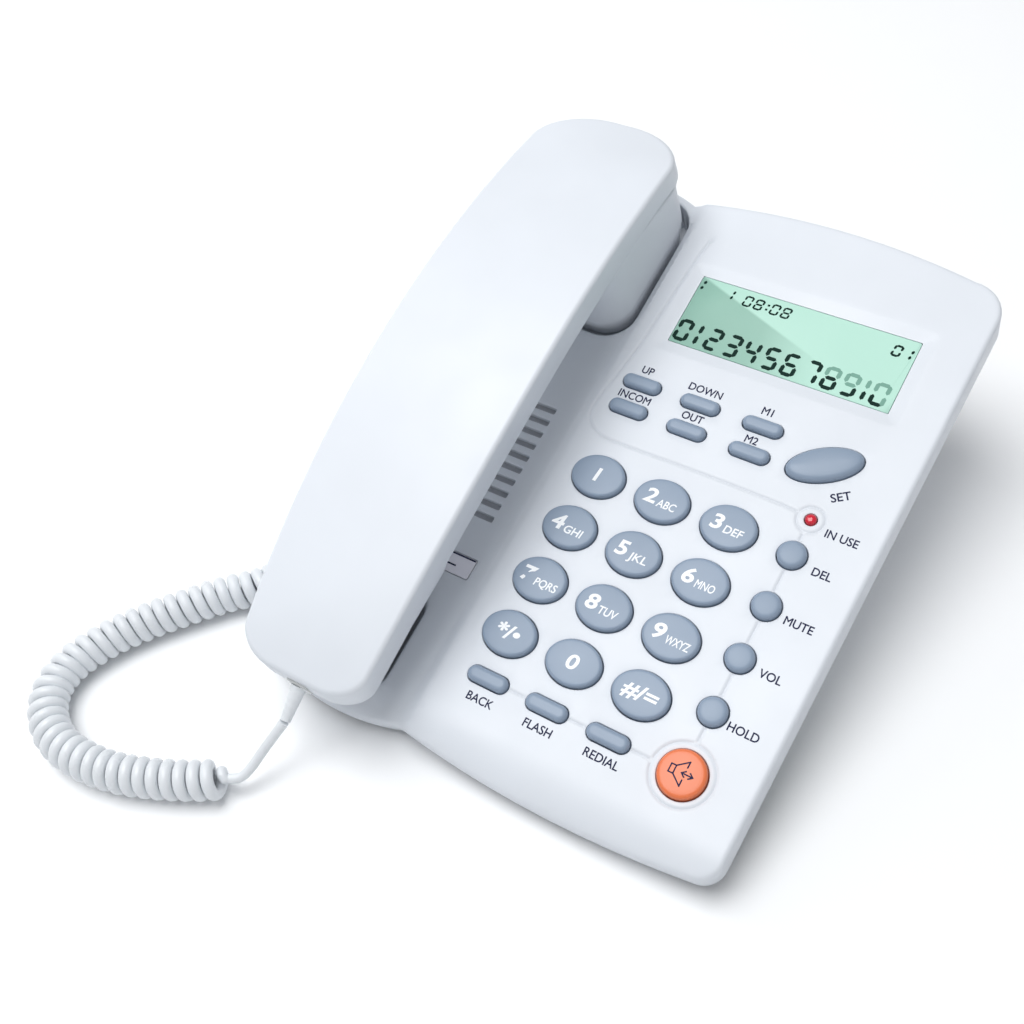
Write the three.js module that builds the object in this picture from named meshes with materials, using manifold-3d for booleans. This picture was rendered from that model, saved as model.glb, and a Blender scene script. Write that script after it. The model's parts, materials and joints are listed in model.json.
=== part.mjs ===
// Corded desk telephone: sloping keypad base with a display, an arched handset lying in its cradle,
// and the curly cord between them.  Millimetres, +Z up, +X to the user's right, +Y to the back.
import * as THREE from 'three';
import { mergeVertices } from 'three/addons/utils/BufferGeometryUtils.js';
import Module from 'manifold-3d';

const wasm = await Module();
wasm.setup();

// ---- Driving dimensions ------------------------------------------------------------------------
// The keypad panel is a plane tilted about X.  Its own axes are u (to the right), v (up the slope)
// and n (out of the panel).  Its zero is the middle of the star key, on the panel's surface.
const PANEL_TILT = THREE.MathUtils.degToRad(15);
const PANEL_ZERO = new THREE.Vector3(-5.5, -56, 23);

const GAP = 0.3;
const WALL = 2.2;
const SKIRT_DEPTH = 10;

// Plan outline of the base, in u and v
const BASE_LEFT = -73;
const BASE_RIGHT_FRONT = 80.6;
const BASE_RIGHT_BACK = 84;
const BASE_FRONT = -36.4;
const BASE_BACK = 154.6;
const NOTCH_U = -18.5;
const CRADLE_BOW_FRONT = 3.6;
const PANEL_BOW_FRONT = 3.1;
const CRADLE_BOW_BACK = 4.4;
const PANEL_BOW_BACK = 4.6;
const CORNER_RADIUS = { frontLeft: 10, frontRight: 7, backRight: 11, backLeft: 11 };
const LIP_START_V = -26;
const LIP_REACH = 14.6;
const LIP_DROP = 9;

// Cradle side of the base
const CRADLE_U = -42.8;
const CRADLE_STEP = 2;
const WELL_WALL = 1.8;
const EAR_WELL = { half: 26.1, front: 99.4, back: 153.8, radius: 10, floor: -10 };
const MOUTH_WELL = { topHalf: 14.7, top: [-31.2, 1.2], lowHalf: 11.7, low: [-28.2, -1.8], floor: -8.4 };
const GRILLE = { slots: 10, firstV: 30, pitch: 4.41, width: 2, left: -58, rightFront: -24, rightBack: -24.3 };
const CARD = { left: -65, right: -21.7, front: 10, back: 16.4, thickness: 0.5 };
const HOOK = { v: 112, width: 7, depth: 4, length: 14 };

// Keys: grid pitch and cap sizes
const KEY_PITCH_U = 21;
const KEY_PITCH_V = 17.95;
const KEY_PROUD = 1.8;
const KEY_CLEARANCE = 0.4;
const NUMBER_KEY = { width: 16.6, height: 13.4, sides: 16 };
const ROUND_KEY = { width: 8.2, height: 8.2, sides: 12 };
const SPEAKER_KEY = { width: 13.4, height: 13.4, sides: 16 };
const UPPER_PILL = { width: 12.2, height: 4.4, sides: 12 };
const LOWER_PILL = { width: 12.7, height: 4.7, sides: 12 };
const SET_KEY = { width: 21.8, height: 10.6, sides: 16, turn: 30 };

// Display
const DISPLAY = { u: 32, v: 117.2, width: 70, height: 25, sunk: 0.8, thickness: 1.2, bevel: 4 };
const LED = { u: 61.2, v: 65.6, radius: 1.6 };

// Bottom shell, in object axes
const TRAY_UNDERSIDE = 1.8;
const TRAY_WALL = 2;
const TRAY_SETBACK = 1.8;
const TRAY_TOP = 64;
const TRAY_DRAFT = { left: 7, right: 12, front: 2, back: 4 };
const TRAY_FRONT = -89;
const TRAY_BACK = 94.3;
const TRAY_RADIUS = 8;
const FOOT_RADIUS = 5;
const FOOT_PLACES = [[-60, -74], [54, -74], [-60, 76], [54, 76]];
const SCREW_POSTS = [
  { name: 'base_screw_front', x: -15.5, y: -82, top: 7.5 },
  { name: 'base_screw_rear_left', x: -10.5, y: 83.5, top: 48 },
  { name: 'base_screw_rear_right', x: 54, y: 83.5, top: 48 },
];

// Sockets
const HANDSET_SOCKET = { wide: 8.2, tall: 7.2 };
const LINE_SOCKET = { wide: 9.8, tall: 7 };
const BASE_JACK = { mouth: -67.3, y: -28, z: 11.5, halfWide: 5.7, halfTall: 5.2, depth: 13.5 };
const LINE_JACK = { mouth: 88.6, x: -40, z: 14, halfWide: 7, halfTall: 5.5, depth: 13.5 };
const JACK_BACK = 2;
const PLUG = { halfWide: 3.5, halfTall: 2.9, bootWide: 2.6, bootNarrow: 1.75 };
const HANDSET_JACK = { front: -34.2, back: -22.2, middle: 12.2, halfWide: 5.3, halfTall: 4.2 };

// Handset, in u, v and n
const HANDSET_FRONT = -40.8;
const HANDSET_BACK = 159.7;
const HANDSET_TOP = 35.5;
const HANDSET_CREST_V = 72;
const ARCH_RADIUS_FRONT = 380;
const ARCH_RADIUS_BACK = 300;
const HANDSET_HALF = 26.2;
const HANDSET_WIDEST_V = 65;
const TAPER_FRONT = 0.00048;
const TAPER_BACK = 0.00022;
const OUTER_SHELL_DEPTH = 8.2;
const HANDSET_WALL = 2.2;
const HANDSET_CROWN = 1;
const FRONT_ROUND = { along: 9, across: 12 };
const BACK_ROUND = { along: 15.5, across: 20 };
const GRIP_DEPTH = 8.1;
const GRIP_NARROWING = 5;
const GRIP_MIDDLE_V = 58;
const SCREW_V = 88;
const EAR_V = 127;
const MOUTH_V = -15;

// Cord
const COIL_RADIUS = 6.1;
const CORD_RADIUS = 1.55;
const COIL_HEIGHT = 6.2;

// ---- Building blocks ---------------------------------------------------------------------------
const panelMatrix = new THREE.Matrix4().makeRotationX(PANEL_TILT).setPosition(PANEL_ZERO);
const worldToPanel = panelMatrix.clone().invert();

const telephone = new THREE.Group();
const panel = new THREE.Group();
panel.position.copy(PANEL_ZERO);
panel.rotation.x = PANEL_TILT;
telephone.add(panel);

function solid(geometry) {
  const bare = geometry.clone();
  bare.deleteAttribute('normal');
  bare.deleteAttribute('uv');
  const merged = mergeVertices(bare, 1e-5);
  const vertProperties = new Float32Array(merged.attributes.position.array);
  const triVerts = new Uint32Array(merged.index.array);
  return new wasm.Manifold(new wasm.Mesh({ numProp: 3, vertProperties, triVerts }));
}

function geometryOf(manifold) {
  const mesh = manifold.getMesh();
  const geometry = new THREE.BufferGeometry();
  const positions = new Float32Array(mesh.numVert * 3);
  for (let i = 0; i < mesh.numVert; i += 1) {
    for (let axis = 0; axis < 3; axis += 1) {
      positions[i * 3 + axis] = mesh.vertProperties[i * mesh.numProp + axis];
    }
  }
  geometry.setAttribute('position', new THREE.BufferAttribute(positions, 3));
  geometry.setIndex(new THREE.BufferAttribute(new Uint32Array(mesh.triVerts), 1));
  geometry.computeVertexNormals();
  return geometry;
}

function addAll(first, ...others) {
  return others.reduce((sum, next) => sum.add(next), first);
}

function cutAll(body, cutters) {
  return cutters.reduce((rest, cutter) => rest.subtract(cutter), body);
}

function addPart(parent, name, shape, look) {
  const geometry = shape.isBufferGeometry ? shape : geometryOf(shape);
  const mesh = new THREE.Mesh(geometry, new THREE.MeshStandardMaterial(look));
  mesh.name = name;
  parent.add(mesh);
  return mesh;
}

function box(low, high) {
  const size = high.map((value, axis) => value - low[axis]);
  const geometry = new THREE.BoxGeometry(...size);
  geometry.translate(low[0] + size[0] / 2, low[1] + size[1] / 2, low[2] + size[2] / 2);
  return solid(geometry);
}

function upright(radius, low, high, x, y, sides = 12, topRadius = radius) {
  const geometry = new THREE.CylinderGeometry(topRadius, radius, high - low, sides);
  geometry.rotateX(Math.PI / 2);
  geometry.translate(x, y, (low + high) / 2);
  return solid(geometry);
}

// A solid through rings with the same number of points, closed at both ends
function loft(rings) {
  const count = rings[0].length;
  const positions = rings.flat().flatMap((point) => [point.x, point.y, point.z]);
  const index = [];
  for (let ring = 0; ring + 1 < rings.length; ring += 1) {
    for (let i = 0; i < count; i += 1) {
      const next = (i + 1) % count;
      const a = ring * count + i;
      const b = ring * count + next;
      index.push(a, b, b + count, a, b + count, a + count);
    }
  }
  const last = (rings.length - 1) * count;
  for (let i = 1; i + 1 < count; i += 1) {
    index.push(0, i + 1, i);
    index.push(last, last + i, last + i + 1);
  }
  const geometry = new THREE.BufferGeometry();
  geometry.setAttribute('position', new THREE.Float32BufferAttribute(positions, 3));
  geometry.setIndex(index);
  return solid(geometry);
}

function prism(outline, low, high) {
  const shape = new THREE.Shape(outline);
  const geometry = new THREE.ExtrudeGeometry(shape, { depth: high - low, bevelEnabled: false });
  geometry.translate(0, 0, low);
  return solid(geometry);
}

// An outline in v and n, swept along u
function sideProfile(outline, lowU, highU) {
  const shape = new THREE.Shape(outline);
  const geometry = new THREE.ExtrudeGeometry(shape, { depth: highU - lowU, bevelEnabled: false });
  geometry.translate(0, 0, lowU);
  const axes = new THREE.Matrix4().makeBasis(
    new THREE.Vector3(0, 1, 0),
    new THREE.Vector3(0, 0, 1),
    new THREE.Vector3(1, 0, 0),
  );
  geometry.applyMatrix4(axes);
  return solid(geometry);
}

function transformed(manifold, matrix) {
  const geometry = geometryOf(manifold);
  geometry.applyMatrix4(matrix);
  return solid(geometry);
}

function arc(cx, cy, radius, fromDegrees, toDegrees, steps) {
  const points = [];
  for (let i = 0; i <= steps; i += 1) {
    const angle = THREE.MathUtils.degToRad(fromDegrees + ((toDegrees - fromDegrees) * i) / steps);
    points.push(new THREE.Vector2(cx + radius * Math.cos(angle), cy + radius * Math.sin(angle)));
  }
  return points;
}

// Points strictly between two ends of an edge that bows out by rise, on its right-hand side
function bowed(x0, y0, x1, y1, rise, steps) {
  const length = Math.hypot(x1 - x0, y1 - y0);
  const points = [];
  for (let i = 1; i < steps; i += 1) {
    const t = i / steps;
    const push = rise * 4 * t * (1 - t);
    const x = x0 + (x1 - x0) * t + ((y1 - y0) / length) * push;
    const y = y0 + (y1 - y0) * t - ((x1 - x0) / length) * push;
    points.push(new THREE.Vector2(x, y));
  }
  return points;
}

function roundedRectangle(left, right, front, back, radius, steps = 3) {
  return [
    ...arc(left + radius, front + radius, radius, 180, 270, steps),
    ...arc(right - radius, front + radius, radius, 270, 360, steps),
    ...arc(right - radius, back - radius, radius, 0, 90, steps),
    ...arc(left + radius, back - radius, radius, 90, 180, steps),
  ];
}

function cradleRectangle(half, front, back, radius, steps = 3) {
  return roundedRectangle(CRADLE_U - half, CRADLE_U + half, front, back, radius, steps);
}

function atHeight(outline, height) {
  return outline.map((point) => new THREE.Vector3(point.x, point.y, height));
}

// ---- Base outline ------------------------------------------------------------------------------
function baseOutline(inset) {
  const left = BASE_LEFT + inset;
  const rightFront = BASE_RIGHT_FRONT - inset;
  const rightBack = BASE_RIGHT_BACK - inset;
  const front = BASE_FRONT + inset;
  const back = BASE_BACK - inset;
  const frontLeft = CORNER_RADIUS.frontLeft - inset;
  const frontRight = CORNER_RADIUS.frontRight - inset;
  const backRight = CORNER_RADIUS.backRight - inset;
  const backLeft = CORNER_RADIUS.backLeft - inset;
  return [
    ...arc(left + frontLeft, front + frontLeft, frontLeft, 180, 270, 3),
    ...bowed(left + frontLeft, front, NOTCH_U, front, CRADLE_BOW_FRONT, 4),
    new THREE.Vector2(NOTCH_U, front),
    ...bowed(NOTCH_U, front, rightFront - frontRight, front, PANEL_BOW_FRONT, 5),
    ...arc(rightFront - frontRight, front + frontRight, frontRight, 270, 360, 3),
    ...arc(rightBack - backRight, back - backRight, backRight, 0, 90, 4),
    ...bowed(rightBack - backRight, back, NOTCH_U, back, PANEL_BOW_BACK, 5),
    new THREE.Vector2(NOTCH_U, back),
    ...bowed(NOTCH_U, back, left + backLeft, back, CRADLE_BOW_BACK, 4),
    ...arc(left + backLeft, back - backLeft, backLeft, 90, 180, 4),
  ];
}

// The front edge rolls down over a quarter of an ellipse
function lipProfile(inset) {
  const far = BASE_BACK + 15;
  const low = -SKIRT_DEPTH - 3;
  const points = [new THREE.Vector2(far, low), new THREE.Vector2(far, -inset)];
  const steps = 5;
  for (let i = 0; i <= steps; i += 1) {
    const angle = (Math.PI / 2) * (i / steps);
    const v = LIP_START_V - (LIP_REACH - inset) * Math.sin(angle);
    const n = -LIP_DROP + (LIP_DROP - inset) * Math.cos(angle);
    points.push(new THREE.Vector2(v, n));
  }
  points.push(new THREE.Vector2(LIP_START_V - LIP_REACH + inset, low));
  return points.reverse();
}

// ---- Keys --------------------------------------------------------------------------------------
// Every key's cap is an oval or a pill, so one function gives its outline at any growth
function keyOutline(key, growth) {
  const halfWidth = key.width / 2 + growth;
  const halfHeight = key.height / 2 + growth;
  const points = [];
  const isPill = key.width > key.height * 2.2;
  const turn = THREE.MathUtils.degToRad(key.turn ?? 0);
  for (let i = 0; i < key.sides; i += 1) {
    const angle = (2 * Math.PI * (i + 0.5)) / key.sides;
    const straight = isPill ? Math.sign(Math.cos(angle)) * (halfWidth - halfHeight) : 0;
    const x = isPill ? straight + halfHeight * Math.cos(angle) : halfWidth * Math.cos(angle);
    const y = halfHeight * Math.sin(angle);
    points.push(new THREE.Vector2(
      key.u + x * Math.cos(turn) - y * Math.sin(turn),
      key.v + x * Math.sin(turn) + y * Math.cos(turn),
    ));
  }
  return points;
}

function keyList() {
  const keys = [];
  const rows = [['key_star', 'key_0', 'key_hash'], ['key_7', 'key_8', 'key_9'],
    ['key_4', 'key_5', 'key_6'], ['key_1', 'key_2', 'key_3']];
  rows.forEach((names, row) => names.forEach((name, column) => {
    keys.push({ name, u: column * KEY_PITCH_U - 0.3, v: row * KEY_PITCH_V + 0.4, ...NUMBER_KEY });
  }));
  const upperColumns = [-2.8, 16.6, 36.7];
  const upperRows = [['key_up', 'key_down', 'key_m1'], ['key_incoming', 'key_outgoing', 'key_m2']];
  upperRows.forEach((names, row) => names.forEach((name, column) => {
    keys.push({ name, u: upperColumns[column], v: 87.2 - row * 9.2, ...UPPER_PILL });
  }));
  const sideKeys = ['key_hold', 'key_volume', 'key_function', 'key_delete'];
  sideKeys.forEach((name, step) => {
    keys.push({ name, u: 61, v: 4.5 + step * 16.4, ...ROUND_KEY });
  });
  ['key_back', 'key_flash', 'key_redial'].forEach((name, step) => {
    keys.push({ name, u: 0.7 + step * 19.2, v: -13.9, ...LOWER_PILL });
  });
  keys.push({ name: 'key_set', u: 57.8, v: 82.5, ...SET_KEY });
  keys.push({ name: 'key_speaker', u: 61.2, v: -14, ...SPEAKER_KEY });
  return keys;
}

// A cap with a flange under the panel that keeps it in
function keyBody(key) {
  const flangeGrowth = 1.2;
  const flangeLow = -3.7;
  const flangeTop = -2.6;
  const rings = [
    atHeight(keyOutline(key, flangeGrowth), flangeLow),
    atHeight(keyOutline(key, flangeGrowth), flangeTop),
    atHeight(keyOutline(key, 0), flangeTop),
    atHeight(keyOutline(key, 0), KEY_PROUD),
  ];
  return loft(rings);
}

// ---- Looks -------------------------------------------------------------------------------------
const SHELL_LOOK = { color: 0xdfe4ea, roughness: 0.42, metalness: 0 };
const KEY_LOOK = { color: 0x8d9bb0, roughness: 0.45, metalness: 0 };
const ORANGE_LOOK = { color: 0xee6d3a, roughness: 0.35, metalness: 0 };
const WINDOW_LOOK = { color: 0xb5ddcd, roughness: 0.12, metalness: 0 };
const RED_LOOK = { color: 0xd21532, roughness: 0.2, metalness: 0 };
const BOARD_LOOK = { color: 0x2f6b45, roughness: 0.6, metalness: 0 };
const RUBBER_LOOK = { color: 0x5b6068, roughness: 0.85, metalness: 0 };
const STEEL_LOOK = { color: 0xa9adb2, roughness: 0.35, metalness: 1 };
const DARK_LOOK = { color: 0x2b2e33, roughness: 0.5, metalness: 0 };
const PAPER_LOOK = { color: 0xf6f5fa, roughness: 0.8, metalness: 0 };
const CORD_LOOK = { color: 0xdde1e6, roughness: 0.5, metalness: 0 };
const CLEAR_LOOK = { color: 0xe8e4d2, roughness: 0.2, metalness: 0 };

// ---- Base --------------------------------------------------------------------------------------
function grilleSlots(low, high) {
  const slots = [];
  for (let i = 0; i < GRILLE.slots; i += 1) {
    const v = GRILLE.firstV + i * GRILLE.pitch;
    const share = i / (GRILLE.slots - 1);
    const right = GRILLE.rightFront + (GRILLE.rightBack - GRILLE.rightFront) * share;
    slots.push(box([GRILLE.left, v - GRILLE.width / 2, low], [right, v + GRILLE.width / 2, high]));
  }
  return slots;
}

function screwBosses() {
  const bossRadius = 3.4;
  return SCREW_POSTS.map((post) => {
    const reach = upright(bossRadius, post.top + GAP, post.top + 40, post.x, post.y, 10);
    return transformed(reach, worldToPanel);
  });
}

function screwPilots() {
  const pilotRadius = 1.8;
  return SCREW_POSTS.map((post) => {
    const pilot = upright(pilotRadius, post.top - 1, post.top + 5, post.x, post.y, 8);
    return transformed(pilot, worldToPanel);
  });
}

function topShell(keys) {
  const body = prism(baseOutline(0), -SKIRT_DEPTH, 0);
  const rolled = body.intersect(sideProfile(lipProfile(0), -100, 100));
  const cradleFloor = -CRADLE_STEP;
  const cradleAir = box([-90, -60, cradleFloor], [NOTCH_U + 2.5, 180, 10]);
  const outer = rolled.subtract(cradleAir);

  const cavityTop = -WALL;
  const room = prism(baseOutline(WALL), -SKIRT_DEPTH - 1, cavityTop);
  const rolledRoom = room.intersect(sideProfile(lipProfile(WALL), -100, 100));
  const cradleCeiling = box([-90, -60, cradleFloor - WALL], [NOTCH_U + 5, 180, 10]);
  const hollow = outer.subtract(rolledRoom.subtract(cradleCeiling));

  const bosses = screwBosses().map((boss) => boss.intersect(prism(baseOutline(1), -60, -WALL / 2)));
  const earWalls = earBlock(0).intersect(prism(baseOutline(0.5), -20, 0));
  const mouthBlock = mouthTaper(WELL_WALL, MOUTH_WELL.floor - WELL_WALL, cradleFloor - 1);
  const walled = addAll(hollow, earWalls, mouthBlock, ...bosses);

  const earPocket = prism(
    cradleRectangle(EAR_WELL.half, EAR_WELL.front, EAR_WELL.back, EAR_WELL.radius),
    EAR_WELL.floor,
    5,
  );
  const mouthPocket = mouthTaper(0, MOUTH_WELL.floor, 1);
  const hookHole = box(
    [CRADLE_U - HOOK.width / 2 - 0.35, HOOK.v - HOOK.depth / 2 - 0.35, -30],
    [CRADLE_U + HOOK.width / 2 + 0.35, HOOK.v + HOOK.depth / 2 + 0.35, 0],
  );
  const cardDepth = CARD.thickness + GAP;
  const cardPocket = box(
    [CARD.left - GAP, CARD.front - GAP, cradleFloor - cardDepth],
    [CARD.right + GAP, CARD.back + GAP, 1],
  );
  const keyHoles = keys.map((key) => prism(keyOutline(key, KEY_CLEARANCE), -WALL - 1, 1));
  const ledHole = upright(LED.radius + GAP, -WALL - 1, 1, LED.u, LED.v, 10);
  const openings = [earPocket, mouthPocket, hookHole, cardPocket, ledHole, ...displayOpening(),
    ...grilleSlots(cradleFloor - WALL - 1, 1), ...keyHoles, ...screwPilots()];
  return cutAll(walled, openings);
}

// The walls and floor that carry the ear well, before it is hollowed out
function earBlock(growth) {
  const reach = WELL_WALL + growth;
  const outline = cradleRectangle(
    EAR_WELL.half + reach, EAR_WELL.front - reach, EAR_WELL.back + reach, EAR_WELL.radius + reach,
  );
  return prism(outline, EAR_WELL.floor - 2 - growth, -CRADLE_STEP - 1 + growth);
}

// The mouth well and the block around it share one taper
function mouthTaper(growth, low, high) {
  const radius = 6;
  const slope = (MOUTH_WELL.topHalf - MOUTH_WELL.lowHalf) / (-CRADLE_STEP - MOUTH_WELL.floor);
  const ring = (height) => {
    const widen = growth + slope * (height - MOUTH_WELL.floor);
    const outline = cradleRectangle(
      MOUTH_WELL.lowHalf + widen, MOUTH_WELL.low[0] - widen, MOUTH_WELL.low[1] + widen, radius,
    );
    return atHeight(outline, height);
  };
  return loft([ring(low), ring(high)]);
}

function displayRectangle(growth) {
  const halfWidth = DISPLAY.width / 2 + growth;
  const halfHeight = DISPLAY.height / 2 + growth;
  return roundedRectangle(
    DISPLAY.u - halfWidth, DISPLAY.u + halfWidth, DISPLAY.v - halfHeight, DISPLAY.v + halfHeight, 1, 1,
  );
}

// A through hole for the window and a bevelled recess above it
function displayOpening() {
  const hole = prism(displayRectangle(GAP), -WALL - 1, 0.5);
  const bevel = loft([
    atHeight(displayRectangle(GAP), -DISPLAY.sunk),
    atHeight(displayRectangle(DISPLAY.bevel), 0.01),
  ]);
  return [hole, bevel];
}

// The tray's outline in object axes; draft is 1 at its underside and 0 at its top
function trayOutline(inset, draft) {
  const left = BASE_LEFT + PANEL_ZERO.x + TRAY_SETBACK + inset + TRAY_DRAFT.left * draft;
  const setRight = TRAY_SETBACK + inset + TRAY_DRAFT.right * draft;
  const rightFront = BASE_RIGHT_FRONT + PANEL_ZERO.x - setRight;
  const rightBack = BASE_RIGHT_BACK + PANEL_ZERO.x - setRight;
  const front = TRAY_FRONT + inset + TRAY_DRAFT.front * draft;
  const back = TRAY_BACK - inset - TRAY_DRAFT.back * draft;
  const radius = TRAY_RADIUS;
  return [
    ...arc(left + radius, front + radius, radius, 180, 270, 3),
    ...arc(rightFront - radius, front + radius, radius, 270, 360, 3),
    ...arc(rightBack - radius, back - radius, radius, 0, 90, 3),
    ...arc(left + radius, back - radius, radius, 90, 180, 3),
  ];
}

// A box around a socket's middle, open by a little more than the plug
function socketBox(jack, socket, lowAlong, highAlong, alongX) {
  const middle = alongX ? jack.y : jack.x;
  const across = [middle - socket.wide / 2, middle + socket.wide / 2];
  const low = [across[0], jack.z - socket.tall / 2];
  const high = [across[1], jack.z + socket.tall / 2];
  return alongX
    ? box([lowAlong, ...low], [highAlong, ...high])
    : box([low[0], lowAlong, low[1]], [high[0], highAlong, high[1]]);
}

function bottomShell() {
  const belowSkirt = transformed(
    box([-200, -200, -200], [200, 300, -SKIRT_DEPTH - GAP]),
    panelMatrix,
  );
  const outer = loft([
    atHeight(trayOutline(0, 1), TRAY_UNDERSIDE),
    atHeight(trayOutline(0, 0), TRAY_TOP),
  ]);
  const room = loft([
    atHeight(trayOutline(TRAY_WALL, 1), TRAY_UNDERSIDE + TRAY_WALL),
    atHeight(trayOutline(TRAY_WALL, 0), TRAY_TOP + 1),
  ]);
  const postRadius = 4.6;
  const posts = SCREW_POSTS.map((post) => upright(
    postRadius, TRAY_UNDERSIDE, post.top, post.x, post.y, 12,
  ));
  const headRoom = 3.6;
  const seat = 3;
  const shankRoom = 1.8;
  const bores = SCREW_POSTS.flatMap((post) => [
    upright(headRoom, 0, post.top - seat, post.x, post.y, 12),
    upright(shankRoom, 0, post.top + 1, post.x, post.y, 8),
  ]);
  const handsetMouth = socketBox(BASE_JACK, HANDSET_SOCKET, -90, BASE_JACK.mouth + 3, true);
  const lineMouth = socketBox(LINE_JACK, LINE_SOCKET, LINE_JACK.mouth - 3, 100, false);
  const earRoom = transformed(earBlock(GAP), panelMatrix);
  const tray = addAll(outer.subtract(room), ...posts).intersect(belowSkirt);
  return cutAll(tray, [...bores, handsetMouth, lineMouth, earRoom]);
}

// A screw with a pan head below and its shank up
function screw(headRadius, headLow, headTop, shankTop, x, y) {
  const shankRadius = 1.5;
  return addAll(
    upright(headRadius, headLow, headTop, x, y, 12),
    upright(shankRadius, headTop - 0.1, shankTop, x, y, 8),
  );
}

function baseJack() {
  const { mouth, y, z, halfWide, halfTall, depth } = BASE_JACK;
  const body = box([mouth, y - halfWide, z - halfTall], [mouth + depth, y + halfWide, z + halfTall]);
  return body.subtract(socketBox(BASE_JACK, HANDSET_SOCKET, mouth - 1, mouth + depth - JACK_BACK, true));
}

function lineJack() {
  const { mouth, x, z, halfWide, halfTall, depth } = LINE_JACK;
  const body = box([x - halfWide, mouth - depth, z - halfTall], [x + halfWide, mouth, z + halfTall]);
  return body.subtract(socketBox(LINE_JACK, LINE_SOCKET, mouth - depth + JACK_BACK, mouth + 1, false));
}

function turnedDriver(rim, magnet, rimDepth, depth) {
  const profile = [
    [0, 0], [rim, 0], [rim, rimDepth], [magnet, depth * 0.6], [magnet, depth], [0, depth],
  ].map(([radius, height]) => new THREE.Vector2(radius, -height));
  const geometry = new THREE.LatheGeometry(profile.reverse(), 18);
  geometry.rotateX(Math.PI / 2);
  return geometry;
}

function hookPlunger() {
  const rest = EAR_WELL.floor;
  const stem = box(
    [CRADLE_U - HOOK.width / 2, HOOK.v - HOOK.depth / 2, rest - HOOK.length],
    [CRADLE_U + HOOK.width / 2, HOOK.v + HOOK.depth / 2, rest],
  );
  const collar = box(
    [CRADLE_U - HOOK.width / 2 - 1.5, HOOK.v - HOOK.depth / 2 - 1.5, rest - 9],
    [CRADLE_U + HOOK.width / 2 + 1.5, HOOK.v + HOOK.depth / 2 + 1.5, rest - 7],
  );
  return stem.add(collar);
}

// ---- Handset -----------------------------------------------------------------------------------
function crestHeight(v) {
  const away = v - HANDSET_CREST_V;
  const radius = away < 0 ? ARCH_RADIUS_FRONT : ARCH_RADIUS_BACK;
  return HANDSET_TOP - (away * away) / (2 * radius);
}

function partingHeight(v) {
  return crestHeight(v) - OUTER_SHELL_DEPTH;
}

// Half of the handset's width at v, with the rounded ends drawn in by inset
function halfWidth(v, inset) {
  const away = v - HANDSET_WIDEST_V;
  const full = HANDSET_HALF - (away < 0 ? TAPER_FRONT : TAPER_BACK) * away * away;
  const frontCentre = HANDSET_FRONT + FRONT_ROUND.along;
  const backCentre = HANDSET_BACK - BACK_ROUND.along;
  let narrowing = 0;
  if (v < frontCentre) {
    const share = Math.min(1, (frontCentre - v) / (FRONT_ROUND.along - inset));
    narrowing = FRONT_ROUND.across * (1 - Math.sqrt(1 - share * share));
  }
  if (v > backCentre) {
    const share = Math.min(1, (v - backCentre) / (BACK_ROUND.along - inset));
    narrowing = BACK_ROUND.across * (1 - Math.sqrt(1 - share * share));
  }
  return full - narrowing - inset;
}

function handsetStations(inset) {
  const frontEnd = HANDSET_FRONT + inset;
  const backEnd = HANDSET_BACK - inset;
  const along = [-20, 0, 22, 45, 72, 98, 118, 134];
  const frontRound = [0, 0.8, 2.8, 6, FRONT_ROUND.along - inset].map((step) => frontEnd + step);
  const backRound = [BACK_ROUND.along - inset, 9, 4.5, 1.6, 0].map((step) => backEnd - step);
  return [...frontRound, ...along, ...backRound];
}

// One ring across the outer shell: straight sides, rounded shoulders and a low crown
function shellRing(v, inset, low) {
  const half = halfWidth(v, inset);
  const top = crestHeight(v) - inset;
  const nearEnd = Math.min(v - HANDSET_FRONT - inset, HANDSET_BACK - inset - v);
  const roll = Math.max(0, 1.6 - nearEnd);
  const shoulder = 1.4;
  const points = [
    [half, low], [half, top - shoulder - roll], [half - shoulder, top - 0.3 - roll],
    [half * 0.45, top + HANDSET_CROWN * 0.8 - roll], [-half * 0.45, top + HANDSET_CROWN * 0.8 - roll],
    [-half + shoulder, top - 0.3 - roll], [-half, top - shoulder - roll], [-half, low],
  ];
  return points.map(([across, n]) => new THREE.Vector3(CRADLE_U + across, v, n)).reverse();
}

// The gap in the front wall that the plug and its boot pass through
function plugNotch(low) {
  const half = PLUG.halfWide + 0.7;
  const top = HANDSET_JACK.middle + PLUG.halfTall + 0.8;
  return box([CRADLE_U - half, -45, low], [CRADLE_U + half, -34.6, top]);
}

function outerHandsetShell() {
  const outer = loft(handsetStations(0).map((v) => shellRing(v, 0, partingHeight(v))));
  const hollow = loft(handsetStations(HANDSET_WALL).map(
    (v) => shellRing(v, HANDSET_WALL, partingHeight(v) - 4),
  ));
  const boss = upright(3.6, 22.4, 34.6, CRADLE_U, SCREW_V, 10);
  const pilot = upright(1.8, 20, 29.5, CRADLE_U, SCREW_V, 8);
  return outer.subtract(hollow).add(boss).subtract(pilot).subtract(plugNotch(5));
}

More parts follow.
